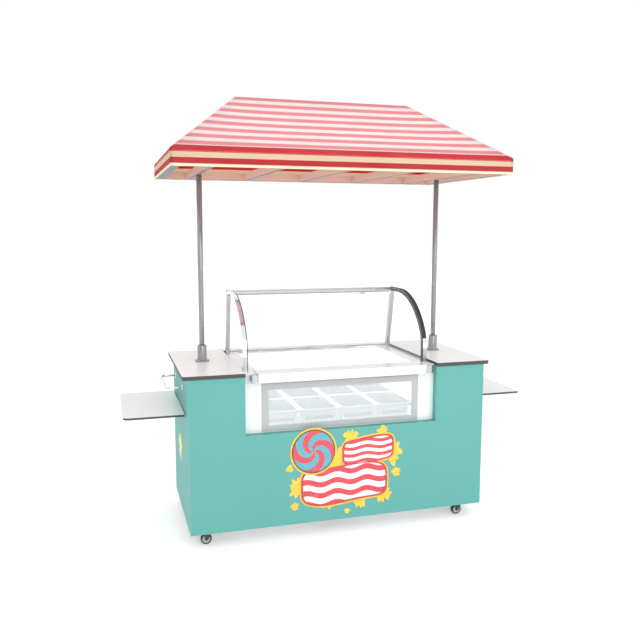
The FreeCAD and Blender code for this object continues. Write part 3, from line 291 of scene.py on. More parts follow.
@dataclass(frozen=True)
class PrintedArt:
    """Printed vinyl whose two inks alternate by a rule on the piece's own map.

    The swirl rule steps on turns of angle plus reach from the middle; the wave rule steps on
    height plus a sine of the distance across.
    """

    name: str
    first: Colour
    second: Colour
    arms: float = 0.0
    twist: float = 0.0
    waves: float = 0.0

    def make(self) -> bpy.types.Material:
        """Write the material."""
        recipe = Recipe(self.name)
        flat = recipe.add("UVMap", uv_map="Art").outputs[0]
        parts = recipe.add("SeparateXYZ", {0: flat}).outputs
        if self.arms:
            step = recipe.sum("ADD", recipe.sum("MULTIPLY", parts[0], self.arms),
                              recipe.sum("MULTIPLY", parts[1], self.twist))
        else:
            place = recipe.add("SeparateXYZ", {0: recipe.place()}).outputs
            ripple = recipe.sum("MULTIPLY", recipe.sum("SINE", recipe.sum("MULTIPLY", place[0], 34.0)), 0.16)
            step = recipe.sum("ADD", recipe.sum("MULTIPLY", place[2], self.waves), ripple)
        choice = recipe.sum("GREATER_THAN", recipe.sum("FRACT", step), 0.5)
        ink = recipe.mix(choice, self.first, self.second)
        worn = recipe.noise(recipe.place(), 60.0, 4.0)
        ink = recipe.mix(recipe.between(worn, 0.5, 0.9, 0.0, 0.12), ink, (0.9, 0.9, 0.86))
        recipe.fill(recipe.shader, {"Base Color": ink, "Roughness": 0.36, "Coat Weight": 0.2})
        recipe.relief(worn, 0.05, 0.0001)
        return recipe.material


STEEL = (0.60, 0.61, 0.63)
PAINT_TEAL = HardFinish("teal_powder_coat", (0.135, 0.430, 0.392), (0.124, 0.404, 0.368), 0.52,
                        specular=0.22, patch=1.7)
# Painted highlight: the rounded edges of the teal skins and doors wear this lighter, glossier teal, standing
# for light caught on the edges.
TEAL_EDGE_HIGHLIGHT = HardFinish("teal_painted_edge_highlight", (0.21, 0.51, 0.47), (0.16, 0.45, 0.41), 0.38)
LAMINATE = HardFinish("white_laminate_face", (0.89, 0.89, 0.88), (0.86, 0.86, 0.855), 0.30, grain=620.0)
CORE = HardFinish("dark_laminate_core", (0.045, 0.040, 0.038), (0.085, 0.078, 0.074), 0.5, patch=160.0)
WHITE_PANEL = HardFinish("white_gloss_panel", (0.90, 0.92, 0.92), (0.86, 0.885, 0.89), 0.16, coat=0.3)
WHITE_LEDGE = HardFinish("white_gloss_ledge", (0.84, 0.84, 0.84), (0.80, 0.80, 0.805), 0.14, coat=0.4)
GREY_FRAME = HardFinish("grey_window_frame", (0.50, 0.52, 0.525), (0.43, 0.455, 0.46), 0.34)
GALVANISED = HardFinish("galvanised_sheet", (0.60, 0.62, 0.63), (0.44, 0.46, 0.47), 0.42, metallic=0.9,
                        patch=38.0)
FRAME_STEEL = HardFinish("frame_steel_paint", (0.13, 0.14, 0.145), (0.10, 0.105, 0.11), 0.5, low_darkening=0.6)
# Painted light: the white well liner glows as if lit by the LED strip; it is no lamp.
LINER = HardFinish("white_well_liner_painted_glow", (0.95, 0.965, 0.97), (0.92, 0.94, 0.945), 0.2, glow=0.48)
LED = HardFinish("lit_diffuser", (0.95, 0.98, 1.0), (0.92, 0.96, 1.0), 0.5, glow=7.0)
BRUSHED_X = HardFinish("brushed_steel_x", STEEL, (0.47, 0.48, 0.50), 0.30, 0.12, 0.95, 6.0, 700.0,
                       Grain.ALONG_X, 0.18)
BRUSHED_Z = HardFinish("brushed_steel_z", STEEL, (0.47, 0.48, 0.50), 0.30, 0.12, 0.95, 6.0, 700.0,
                       Grain.ALONG_Z, 0.18)
PAN_STEEL = HardFinish("pan_steel", (0.90, 0.905, 0.91), (0.80, 0.81, 0.82), 0.28, 0.08, 0.6, 9.0)
GUARD_SILVER = HardFinish("guard_silver", (0.86, 0.87, 0.88), (0.76, 0.77, 0.79), 0.20, 0.05, 0.85, 8.0)
# Painted reflections: the narrow dark and light vertical streaks of this steel stand for reflected surroundings
# on the poles and sockets.
POLE_STEEL_REFLECTIONS = HardFinish("pole_steel", (0.46, 0.47, 0.48), (0.17, 0.175, 0.185), 0.24, 0.05, 0.55, 95.0,
                        540.0, Grain.ALONG_Z, 0.06)
POLISHED = HardFinish("polished_tube", (0.80, 0.81, 0.83), (0.66, 0.67, 0.70), 0.12, 0.05, 1.0, 5.0,
                      540.0, Grain.ALONG_Z, 0.06)
ZINC = HardFinish("zinc_plate", (0.52, 0.54, 0.56), (0.40, 0.42, 0.43), 0.36, 0.1, 0.9, 60.0)
RUBBER = HardFinish("black_rubber", (0.022, 0.022, 0.022), (0.036, 0.036, 0.035), 0.72, strength=0.2)
TYRE = HardFinish("caster_tyre", (0.020, 0.020, 0.021), (0.04, 0.039, 0.038), 0.66, strength=0.25)
HUB = HardFinish("caster_hub", (0.50, 0.51, 0.52), (0.40, 0.41, 0.42), 0.45)
CASTER_PAINT = HardFinish("caster_black", (0.030, 0.030, 0.032), (0.055, 0.054, 0.052), 0.38, low_darkening=0.4)
BLACK_ENAMEL = HardFinish("black_enamel", (0.018, 0.018, 0.020), (0.03, 0.03, 0.032), 0.18, coat=0.5)
BLACK_PLASTIC = HardFinish("black_plastic", (0.030, 0.030, 0.032), (0.045, 0.045, 0.046), 0.48, strength=0.25)
SWITCH_RED = HardFinish("switch_red", (0.52, 0.030, 0.022), (0.44, 0.025, 0.02), 0.22, coat=0.3)
BRACKET = HardFinish("bracket_white", (0.80, 0.80, 0.79), (0.74, 0.74, 0.735), 0.36, coat=0.1)
CANOPY_PAINT = HardFinish("canopy_beige_paint", (0.74, 0.52, 0.42), (0.68, 0.47, 0.38), 0.55)
# Painted shade: the canopy frame's downward faces wear this dark grey, standing for the shade under the rails
# and ribs.
CANOPY_UNDERSIDE_SHADE = HardFinish("canopy_painted_underside_shade", (0.205, 0.215, 0.215), (0.17, 0.18, 0.18), 0.6)
FIN = HardFinish("condenser_fins", (0.55, 0.56, 0.57), (0.46, 0.47, 0.48), 0.4, 0.08, 0.9, 40.0)
GLASS = HardFinish("clear_glass", (0.90, 0.96, 0.96), (0.88, 0.95, 0.95), 0.05, 0.02, alpha=0.07,
                   strength=0.01, coat=0.6)
GUARD_GLASS = HardFinish("clear_guard_glass", (0.93, 0.97, 0.97), (0.91, 0.96, 0.96), 0.04, 0.02, alpha=0.05,
                         strength=0.01, coat=0.6)
GLASS_EDGE = HardFinish("ground_glass_edge", (0.56, 0.63, 0.62), (0.50, 0.58, 0.57), 0.28, alpha=0.62)
PIPING = HardFinish("seam_piping", (0.88, 0.72, 0.70), (0.84, 0.66, 0.64), 0.8, grain=900.0, strength=0.4)
HEM_TAPE = HardFinish("hem_tape", (0.90, 0.80, 0.54), (0.86, 0.75, 0.50), 0.85, grain=900.0, strength=0.4)
PALE_FLOOR = HardFinish("pale_floor", (0.94, 0.94, 0.94), (0.93, 0.93, 0.93), 0.7, glow=0.32)
STITCH = HardFinish("stitch_thread", (0.95, 0.93, 0.90), (0.88, 0.86, 0.82), 0.75, grain=1400.0)


# ---- surfaces ----
def grid_faces(rows: int, columns: int) -> np.ndarray:
    """Quads of a grid of points, row by row, turned so that they face out of a ring's far side."""
    index = np.arange(rows * columns).reshape(rows, columns)
    corners = (index[:-1, :-1], index[:-1, 1:], index[1:, 1:], index[1:, :-1])
    return np.stack(corners, axis=-1).reshape(-1, 4)


def surface(
    name: str, points: np.ndarray, maps: dict[str, np.ndarray] | None = None, closed: bool = True,
    extra_faces: np.ndarray | None = None,
) -> bpy.types.Object:
    """Make an object from a grid of points.

    Args:
        name: the piece's name.
        points: rows by columns by 3, in metres.
        maps: UV maps by name, each rows by columns by 2.
        closed: whether the grid closes on itself, so its normals can be turned outwards.
        extra_faces: quads to use in place of one plain grid, for several grids in one piece.

    Returns:
        The object, its doubled points merged.
    """
    rows, columns = points.shape[0], points.shape[1]
    faces = grid_faces(rows, columns) if extra_faces is None else extra_faces
    mesh = bpy.data.meshes.new(name)
    mesh.from_pydata(points.reshape(-1, 3).tolist(), [], faces.tolist())
    loops = np.empty(len(mesh.loops), dtype=np.int32)
    mesh.loops.foreach_get("vertex_index", loops)
    for label, values in (maps or {}).items():
        layer = mesh.uv_layers.new(name=label)
        layer.data.foreach_set("uv", values.reshape(-1, 2)[loops].ravel())
    book = bmesh.new()
    book.from_mesh(mesh)
    bmesh.ops.remove_doubles(book, verts=book.verts, dist=2 * MERGE)
    bmesh.ops.dissolve_degenerate(book, edges=book.edges, dist=MERGE)
    if closed:
        bmesh.ops.recalc_face_normals(book, faces=book.faces)
    book.to_mesh(mesh)
    book.free()
    mesh.shade_smooth()
    thing = bpy.data.objects.new(name, mesh)
    bpy.context.collection.objects.link(thing)
    return thing


def many(pattern: np.ndarray, places: np.ndarray) -> tuple[np.ndarray, np.ndarray]:
    """Copies of one grid at many places.

    Args:
        pattern: rows by columns by 3.
        places: n by 3, added to the pattern's points.

    Returns:
        The points of all copies as one long grid, and the quads of all copies.
    """
    rows, columns = pattern.shape[0], pattern.shape[1]
    points = places[:, None, None, :] + pattern[None]
    faces = grid_faces(rows, columns)
    shift = (np.arange(len(places)) * rows * columns)[:, None, None]
    return points.reshape(-1, columns, 3), (faces[None] + shift).reshape(-1, 4)


def lathe(
    radii: np.ndarray, heights: np.ndarray, centre: tuple, axis: int, sides: int = 48,
) -> np.ndarray:
    """A profile turned about an axis: each point is the centre, plus its height along the axis,
    plus its radius times cosine and sine on the other two axes.

    Args:
        radii: the profile's distances from the axis; 0 closes an end.
        heights: its positions along the axis.
        centre: a point on the axis.
        axis: 0, 1 or 2 for X, Y or Z.
        sides: how many steps make the turn.

    Returns:
        The grid of points.
    """
    angle = np.linspace(0.0, TURN, sides + 1)
    angle[-1] = 0.0
    points = np.empty((len(radii), sides + 1, 3))
    points[..., axis] = heights[:, None]
    points[..., (axis + 1) % 3] = radii[:, None] * np.cos(angle)
    points[..., (axis + 2) % 3] = radii[:, None] * np.sin(angle)
    return points + np.asarray(centre)


def tube(path: np.ndarray, radius: float, aside: tuple, sides: int = 20) -> np.ndarray:
    """A round bar along a path, closed at both ends.

    The ring at each point is the point plus the radius times cosine and sine of an angle on two
    directions square to the path: the tangent crossed with a fixed direction, and that crossed again.

    Args:
        path: n by 3 points.
        radius: the bar's radius.
        aside: a direction that the path never runs along.
        sides: how many sides a ring has.

    Returns:
        The grid of points.
    """
    tangent = np.gradient(path, axis=0)
    tangent /= np.linalg.norm(tangent, axis=1)[:, None]
    first = np.cross(tangent, np.asarray(aside, float))
    first /= np.linalg.norm(first, axis=1)[:, None]
    second = np.cross(tangent, first)
    angle = np.linspace(0.0, TURN, sides + 1)
    angle[-1] = 0.0
    ring = first[:, None] * np.cos(angle)[:, None] + second[:, None] * np.sin(angle)[:, None]
    body = path[:, None] + radius * ring
    ends = [np.broadcast_to(path[i], (1, sides + 1, 3)) for i in (0, -1)]
    return np.concatenate([ends[0], body, ends[1]])


def rounded_block(centre: tuple, half: tuple, power: float = 0.28) -> np.ndarray:
    """A block with soft edges: a superellipsoid, each axis a signed power of cosines and sines."""
    across = np.linspace(0.0, TURN, 41)
    upward = np.linspace(-math.pi / 2, math.pi / 2, 21)

    def eased(value: np.ndarray) -> np.ndarray:
        """The signed power."""
        return np.sign(value) * np.abs(value) ** power

    x = np.outer(eased(np.cos(upward)), eased(np.cos(across)))
    y = np.outer(eased(np.cos(upward)), eased(np.sin(across)))
    z = np.outer(eased(np.sin(upward)), np.ones_like(across))
    grid = np.stack([x, y, z], axis=-1) * np.asarray(half)
    grid[:, -1] = grid[:, 0]
    grid[[0, -1]] = grid[[0, -1]].mean(axis=1, keepdims=True)
    return grid + np.asarray(centre)


# ---- how pieces join the frame ----
BODY_OF = {
    node: body for body, nodes in frame["record"]["behaviour"]["bodies"].items() for node in nodes
}
SLOT_OF = {row["node"]: row["material_slot"] for row in frame["record"]["subparts"]}


def publish(piece: bpy.types.Object, finish: object, body: str, slot: str, *nodes: str) -> bpy.types.Object:
    """Dress a piece, ride it on its body, and report it.

    Args:
        piece: the new piece.
        finish: the finish it wears.
        body: the body that carries it.
        slot: the record's material slot; not used.
        nodes: CAD nodes that it stands for.

    Returns:
        The same piece.
    """
    if not piece.data.materials:
        piece.data.materials.append(finish.make())
    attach(piece, body)
    if nodes:
        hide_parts(*nodes)
    LOG.info("%s on %s, %d faces", piece.name, body, len(piece.data.polygons))
    return piece


def cast(
    name: str, grid: np.ndarray, finish: object, body: str, slot: str, *nodes: str,
) -> bpy.types.Object:
    """Make a piece from a grid of points and publish it, with publish's own arguments."""
    return publish(surface(name, grid), finish, body, slot, *nodes)


def soften(
    node: str, finish: HardFinish, width: Edge, second: HardFinish | None = None,
    faces: Faces = Faces.EDGES,
) -> bpy.types.Object:
    """A copy of a CAD node with small round edges.

    Args:
        node: the CAD node.
        finish: what its faces wear.
        width: how wide the round edges are.
        second: another finish for some of its faces.
        faces: which faces wear that.

    Returns:
        The new piece.
    """
    mesh = frame["nodes"][node].data.copy()
    mesh.name = node + "_finished"
    mesh.materials.clear()
    book = bmesh.new()
    book.from_mesh(mesh)
    bmesh.ops.remove_doubles(book, verts=book.verts, dist=MERGE)
    bmesh.ops.dissolve_limit(book, angle_limit=FLAT, verts=book.verts, edges=book.edges)
    book.normal_update()
    for edge in book.edges:
        edge.smooth = len(edge.link_faces) == 2 and edge.calc_face_angle(0.0) < SHARP
    mesh.materials.append(finish.make())
    if second:
        mesh.materials.append(second.make())
    for face in book.faces:
        face.smooth = True
        upright = faces is Faces.SIDES and abs(face.normal.z) < LEVEL
        under = faces is Faces.UNDER and face.normal.z < -LEVEL
        face.material_index = 1 if second and (upright or under) else 0
    book.to_mesh(mesh)
    book.free()
    piece = bpy.data.objects.new(node + "_finished", mesh)
    bpy.context.collection.objects.link(piece)
    bevel = piece.modifiers.new("rounding", "BEVEL")
    bevel.width = width.value
    bevel.segments = 2
    bevel.limit_method = "ANGLE"
    bevel.angle_limit = SHARP
    bevel.harden_normals = True
    bevel.material = 1 if second and faces is Faces.EDGES else -1
    return publish(piece, finish, BODY_OF[node], SLOT_OF[node], node)


# ---- sub-assemblies ----
@dataclass
class Canopy:
    """The striped cover on its painted frame."""

    cloth: float = 0.0015
    ridge_share: float = 0.5558
    sag: float = 0.010
    turn: float = 0.016
    ripple: float = 0.0014
    ripple_pitch: float = 0.185
    long_steps: int = 72
    short_steps: int = 42
    slope_steps: int = 40
    drop_steps: int = 10
    fold: float = 0.007
    piping: float = 0.0028
    lift: float = 0.0002
    hem_depth: float = 0.013
    hem_wall: float = 0.0022
    stitch_pitch: float = 0.009
    stitch_radius: float = 0.0005

    def __post_init__(self) -> None:
        """Read the cover's sizes from the frame."""
        low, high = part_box("canopy_roof")
        self.half = (high.x, high.y)
        self.eave, self.ridge = low.z, high.z
        self.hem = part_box("canopy_valance")[0].z
        self.ridge_half = high.x * self.ridge_share

    def rim(self) -> tuple[np.ndarray, np.ndarray]:
        """The round trip of a rectangle's edge as two numbers from -1 to 1, corners on the grid."""
        along = np.linspace(-1.0, 1.0, self.long_steps + 1)[:-1]
        over = np.linspace(-1.0, 1.0, self.short_steps + 1)[:-1]
        ones_long, ones_short = np.ones_like(along), np.ones_like(over)
        a = np.concatenate([along, ones_short, -along, -ones_short, [-1.0]])
        b = np.concatenate([-ones_long, over, ones_long, -over, [-1.0]])
        return a, b

    def stations(self) -> tuple[np.ndarray, ...]:
        """Rows from ridge to hem: inset from the eave as a share of the slope, height, and stripe map.

        The slope is straight, the eave is a quadratic Bezier curve from the slope to the drop, and
        the valance is straight down.
        """
        rise = self.ridge - self.eave
        share = np.linspace(1.0, self.turn, self.slope_steps)
        t = np.linspace(0.0, 1.0, 8)[1:]
        bend_share = (1 - t) ** 2 * self.turn
        bend_z = (1 - t) ** 2 * rise * self.turn - t ** 2 * self.fold
        drop = np.linspace(self.eave - self.fold, self.hem, self.drop_steps + 1)[1:]
        inset = np.concatenate([share, bend_share, np.zeros_like(drop)])
        height = np.concatenate([self.eave + rise * share, self.eave + bend_z, drop])
        roof_part = np.concatenate([1.0 - share, 1.0 - bend_share * 0.999])
        band = 1.0 + (self.eave - drop) / (self.eave - self.hem)
        stripe = np.minimum(np.concatenate([roof_part, band]), 1.999)
        return inset, height, stripe

    def cover(self) -> bpy.types.Object:
        """The cover, one sheet from the ridge over the eave to the hem.

        Each row is a rectangle whose half sizes shrink to the ridge line; the cloth sinks between
        the hips by the sag times the sine of its place down the slope, and ripples inwards a little
        more towards the hem.
        """
        a, b = self.rim()
        inset, height, stripe = self.stations()
        half_x = self.half[0] - inset * (self.half[0] - self.ridge_half)
        half_y = self.half[1] * (1.0 - inset)
        place = np.where(np.abs(b) >= 1.0, np.abs(a), np.abs(b))
        sink = self.sag * np.sin(math.pi * np.clip(1.0 - inset, 0, 1))[:, None] * (1.0 - place ** 4)
        lower = np.clip((self.eave - height) / (self.eave - self.hem), 0.0, 1.0)
        run = np.concatenate([[0.0], np.cumsum(np.hypot(np.diff(a) * self.half[0], np.diff(b) * self.half[1]))])
        wave = 0.5 - 0.5 * np.cos(TURN * run / self.ripple_pitch)
        pull = self.ripple * lower[:, None] * wave[None] * (1.0 - place ** 8)
        x = half_x[:, None] * a - np.where(np.abs(b) < 1.0, np.sign(a), 0.0) * pull
        y = half_y[:, None] * b - np.where(np.abs(b) >= 1.0, np.sign(b), 0.0) * pull
        z = height[:, None] - sink
        points = np.stack([x, y, z], axis=-1)
        points[:, -1] = points[:, 0]
        steps = np.linalg.norm(np.diff(points[:, self.long_steps // 2], axis=0), axis=1)
        down = np.concatenate([[0.0], np.cumsum(steps)])
        shape = (len(height), len(a))
        maps = {
            "Stripe": np.stack([np.broadcast_to(run, shape), np.broadcast_to(stripe[:, None], shape)], -1),
            "Thread": np.stack([np.broadcast_to(run, shape), np.broadcast_to(down[:, None], shape)], -1),
        }
        sheet = surface("canopy_cover", points, maps, closed=False)
        book = bmesh.new()
        book.from_mesh(sheet.data)
        bmesh.ops.recalc_face_normals(book, faces=book.faces)
        if sum(face.normal.z for face in book.faces) < 0:
            bmesh.ops.reverse_faces(book, faces=book.faces)
        book.to_mesh(sheet.data)
        book.free()
        wall = sheet.modifiers.new("thickness", "SOLIDIFY")
        wall.thickness = self.cloth
        wall.offset = -1.0
        return publish(sheet, AwningCloth(), "cart", "roof_cloth", "canopy_roof", "canopy_valance")

    def flat(self) -> tuple[tuple[float, float], float]:
        """The cover's flat size and area, from the slopes' true lengths and the drop."""
        rise = self.ridge - self.eave
        drop = self.eave - self.hem
        long_slope = math.hypot(self.half[1], rise)
        short_slope = math.hypot(self.half[0] - self.ridge_half, rise)
        size = (2 * (self.ridge_half + short_slope + drop), 2 * (long_slope + drop))
        area = 2 * (self.half[0] + self.ridge_half) * long_slope + 2 * self.half[1] * short_slope
        return size, area + 4 * (self.half[0] + self.half[1]) * drop

    def seams(self) -> list[bpy.types.Object]:
        """Piping along the ridge and the four hips, and the folded hem with its stitches."""
        made = []
        corners = [(sx, sy) for sx in (-1, 1) for sy in (-1, 1)]
        for index, (sx, sy) in enumerate(corners):
            t = np.linspace(0.0, 0.985, 60)[:, None]
            top = np.array([sx * self.ridge_half, 0.0, self.ridge - self.cloth + self.lift])
            end = np.array([sx * self.half[0], sy * self.half[1], self.eave - self.cloth + self.lift])
            bar = surface(f"hip_piping_{index + 1}", tube(top + (end - top) * t, self.piping, (0, 0, 1)))
            made.append(publish(bar, PIPING, "cart", "roof_cloth"))
        x = np.linspace(-self.ridge_half, self.ridge_half, 40)
        ridge = np.stack([x, 0 * x, 0 * x + self.ridge - self.piping], axis=-1)
        bar = surface("ridge_piping", tube(ridge, self.piping, (0, 0, 1)))
        made.append(publish(bar, PIPING, "cart", "roof_cloth"))
        a, b = self.rim()
        proud, wall, depth = -0.0003, self.hem_wall, self.hem_depth
        outline = np.array([[proud, 0.0], [wall, 0.0], [wall, depth], [proud, depth], [proud, 0.0]])
        inward = outline[:, 0][:, None]
        px = (self.half[0] - inward) * a
        py = (self.half[1] - inward) * b
        pz = np.broadcast_to(self.hem + outline[:, 1][:, None], px.shape)
        hem = np.stack([px, py, pz], axis=-1)
        hem[:, -1] = hem[:, 0]
        made.append(cast("canopy_hem", hem, HEM_TAPE, "cart", "valance_cloth"))
        made += self.stitches()
        return made

    def stitches(self) -> list[bpy.types.Object]:
        """Two rows of short stitches, above the hem and under the eave, each stitch a six-sided bead."""
        made = []
        clear = 0.012
        for label, z in (("hem", self.hem + 0.0105), ("eave", self.eave - 0.016)):
            for way, reach, offset in ((0, self.half[0], self.half[1]), (1, self.half[1], self.half[0])):
                t = np.arange(-reach + clear, reach - clear, self.stitch_pitch)
                path = np.zeros((4, 3))
                path[:, way] = np.array([-0.0028, -0.0014, 0.0014, 0.0028])
                bead = tube(path, self.stitch_radius, (0, 0, 1), sides=6)
                spots = []
                for sign in (-1, 1):
                    spot = np.zeros((len(t), 3))
                    spot[:, way] = t
                    spot[:, 1 - way] = sign * (offset + 0.0001)
                    spot[:, 2] = z
                    spots.append(spot)
                points, faces = many(bead, np.concatenate(spots))
                row = surface(f"stitches_{label}_{'xy'[way]}", points, extra_faces=faces)
                made.append(publish(row, STITCH, "cart", "valance_cloth"))
        return made

    def build(self) -> None:
        """Make the cover, its seams and the painted frame under it."""
        sheet = self.cover()
        seams = self.seams()
        # Faces that look down on the rails and ribs wear the dark grey of painted shade.
        soften("canopy_rails", CANOPY_PAINT, Edge.THIN, CANOPY_UNDERSIDE_SHADE, Faces.UNDER)
        soften("canopy_ribs", CANOPY_PAINT, Edge.THIN, CANOPY_UNDERSIDE_SHADE, Faces.UNDER)


@dataclass
class Poles:
    """The two polished poles in their flanged sockets."""

    radius: float = 0.016
    wall: float = 0.002
    lip: float = 0.0012
    sides: int = 64
    plate: float = 0.004
    flange: float = 0.042
    flange_thick: float = 0.008
    sleeve: float = 0.028
    bore: float = 0.0163
    fillet: float = 0.005
    screw_ring: float = 0.035
    screw_head: float = 0.005

    def pole(self, side: Side) -> None:
        """One pole: a tube's profile turned about its axis, with a top plate of soft edges."""
        low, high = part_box("canopy_poles")
        plate_low = high.z - self.plate
        x = side.value * (high.x - self.radius)
        radius, inside = self.radius, self.radius - self.wall
        radii = np.array([inside, radius - 0.0004, radius, radius, radius, inside, inside])
        heights = np.array([low.z, low.z, low.z + 0.0006, low.z + 0.5, plate_low, plate_low, low.z])
        name = side.name.lower()
        nodes = ("canopy_poles",) if side is Side.LEFT else ()
        tube_piece = surface(f"pole_{name}", lathe(radii, heights, (x, 0, 0), 2, self.sides))
        # The pole's dark and light vertical streaks are painted reflections.
        publish(tube_piece, POLE_STEEL_REFLECTIONS, "cart", "polished_tube", *nodes)
        plate = rounded_block((x, 0.0, high.z - self.plate / 2), (0.015, 0.045, 0.0019), 0.12)
        cast(f"pole_plate_{name}", plate, BRUSHED_X, "cart", "polished_tube")

    def socket(self, side: Side) -> None:
        """One socket: flange, a weld fillet and a sleeve with a rolled lip, turned about its axis."""
        low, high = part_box("pole_sockets")
        x = side.value * (high.x - self.flange)
        flange, sleeve, bore, fillet = self.flange, self.sleeve, self.bore, self.fillet
        top = low.z + self.flange_thick
        bend = np.linspace(0.0, math.pi / 2, 7)
        radii = np.concatenate([
            [bore, flange - 0.001, flange, flange, flange - 0.0015],
            sleeve + fillet * (1 - np.sin(bend)),
            [sleeve, sleeve - self.lip * 0.4, sleeve - self.lip, bore + self.lip, bore, bore],
        ])
        heights = np.concatenate([
            [low.z, low.z, low.z + 0.001, top - 0.0015, top],
            top + fillet * (1 - np.cos(bend)),
            [high.z - self.lip, high.z - self.lip * 0.3, high.z, high.z, high.z - self.lip, low.z],
        ])
        name = side.name.lower()
        nodes = ("pole_sockets",) if side is Side.LEFT else ()
        piece = surface(f"pole_socket_{name}", lathe(radii, heights, (x, 0, 0), 2, self.sides))
        # The socket wears the same painted reflection streaks.
        publish(piece, POLE_STEEL_REFLECTIONS, "cart", "polished_tube", *nodes)

    def screws(self) -> None:
        """Domed screw heads: height is a shallow dome less a cross-shaped dip, on rings about each axis."""
        low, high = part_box("pole_sockets")
        top = low.z + self.flange_thick
        ring, turn = self.screw_head, np.linspace(0.0, TURN, 33)
        turn[-1] = 0.0
        reach = np.concatenate([[0.0], np.linspace(0.0006, ring, 12), [ring, 0.0]])
        flat_x = reach[:, None] * np.cos(turn)
        flat_y = reach[:, None] * np.sin(turn)
        dome = 0.0025 * np.sqrt(np.clip(1.0 - 0.72 * (reach[:, None] / ring) ** 2, 0, 1))
        cross = (np.minimum(np.abs(flat_x), np.abs(flat_y)) < 0.0006) & (reach[:, None] < 0.0031)
        height = np.where(cross, dome - 0.0010, dome)
        height[-2:] = 0.0
        head = np.stack([flat_x, flat_y, height + 0 * flat_x], axis=-1)
        reach = self.screw_ring
        spots = [
            (s * (high.x - self.flange) + reach * math.cos(q), reach * math.sin(q), top)
            for s in (-1, 1) for q in (math.pi / 4 + math.pi / 2 * k for k in range(4))
        ]
        points, faces = many(head, np.array(spots))
        piece = surface("socket_screw_heads", points, extra_faces=faces)
        publish(piece, ZINC, "cart", "stainless", "socket_screws")

    def build(self) -> None:
        """Make both poles, both sockets and the screws."""
        for side in Side:
            self.pole(side)
            self.socket(side)
        self.screws()


@dataclass
class Cabinet:
    """The teal body, its worktops and everything fixed to them."""

    def build(self) -> None:
        """Dress the skins, the worktops, the frames and the floor."""
        for node in ("front_panel", "side_panels", "rear_face_frame"):
            # Their rounded edges wear the lighter teal of the painted edge highlight.
            soften(node, PAINT_TEAL, Edge.ROUND, TEAL_EDGE_HIGHLIGHT)
        for node in ("cupboard_door_left", "cupboard_door_right"):
            soften(node, PAINT_TEAL, Edge.SOFT, TEAL_EDGE_HIGHLIGHT)
        soften("countertops", LAMINATE, Edge.SOFT, CORE, Faces.SIDES)
        for node in ("base_frame", "body_frame"):
            soften(node, FRAME_STEEL, Edge.FINE)
        for node in ("floor_panel", "partitions"):
            soften(node, GALVANISED, Edge.FINE)
        soften("cupboard_hinges", BRUSHED_Z, Edge.HAIR)


@dataclass
class ColdDisplay:
    """The lit well behind its window, with its pans, deck and ledge."""

    def build(self) -> None:
        """Dress the display's panels, well and pans."""
        soften("display_fascia", WHITE_PANEL, Edge.FINE)
        soften("window_frame", GREY_FRAME, Edge.ROUND)
        soften("window_glass", GLASS, Edge.HAIR, GLASS_EDGE)
        # The liner's glow is painted light from the LED strip.
        soften("display_tank", LINER, Edge.LINER)
        soften("display_deck", WHITE_PANEL, Edge.PLAIN)
        soften("front_ledge", WHITE_LEDGE, Edge.LEDGE)
        soften("front_rail", BRUSHED_X, Edge.SOFT)
        soften("pan_rack", BRUSHED_X, Edge.PLAIN)
        soften("pans", PAN_STEEL, Edge.FINE)
        soften("led_strip", LED, Edge.DIFFUSER)
        self.ledge_ends()

    def ledge_ends(self) -> None:
        """Brushed steel end blocks where the ledge meets the worktops."""
        low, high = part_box("front_ledge")
        for side in Side:
            x = side.value * (high.x + 0.018)
            block = rounded_block((x, low.y + 0.020, low.z + 0.024), (0.0165, 0.0185, 0.0235), 0.10)
            cast(f"ledge_end_{side.name.lower()}", block, BRUSHED_Z, "cart", "stainless")


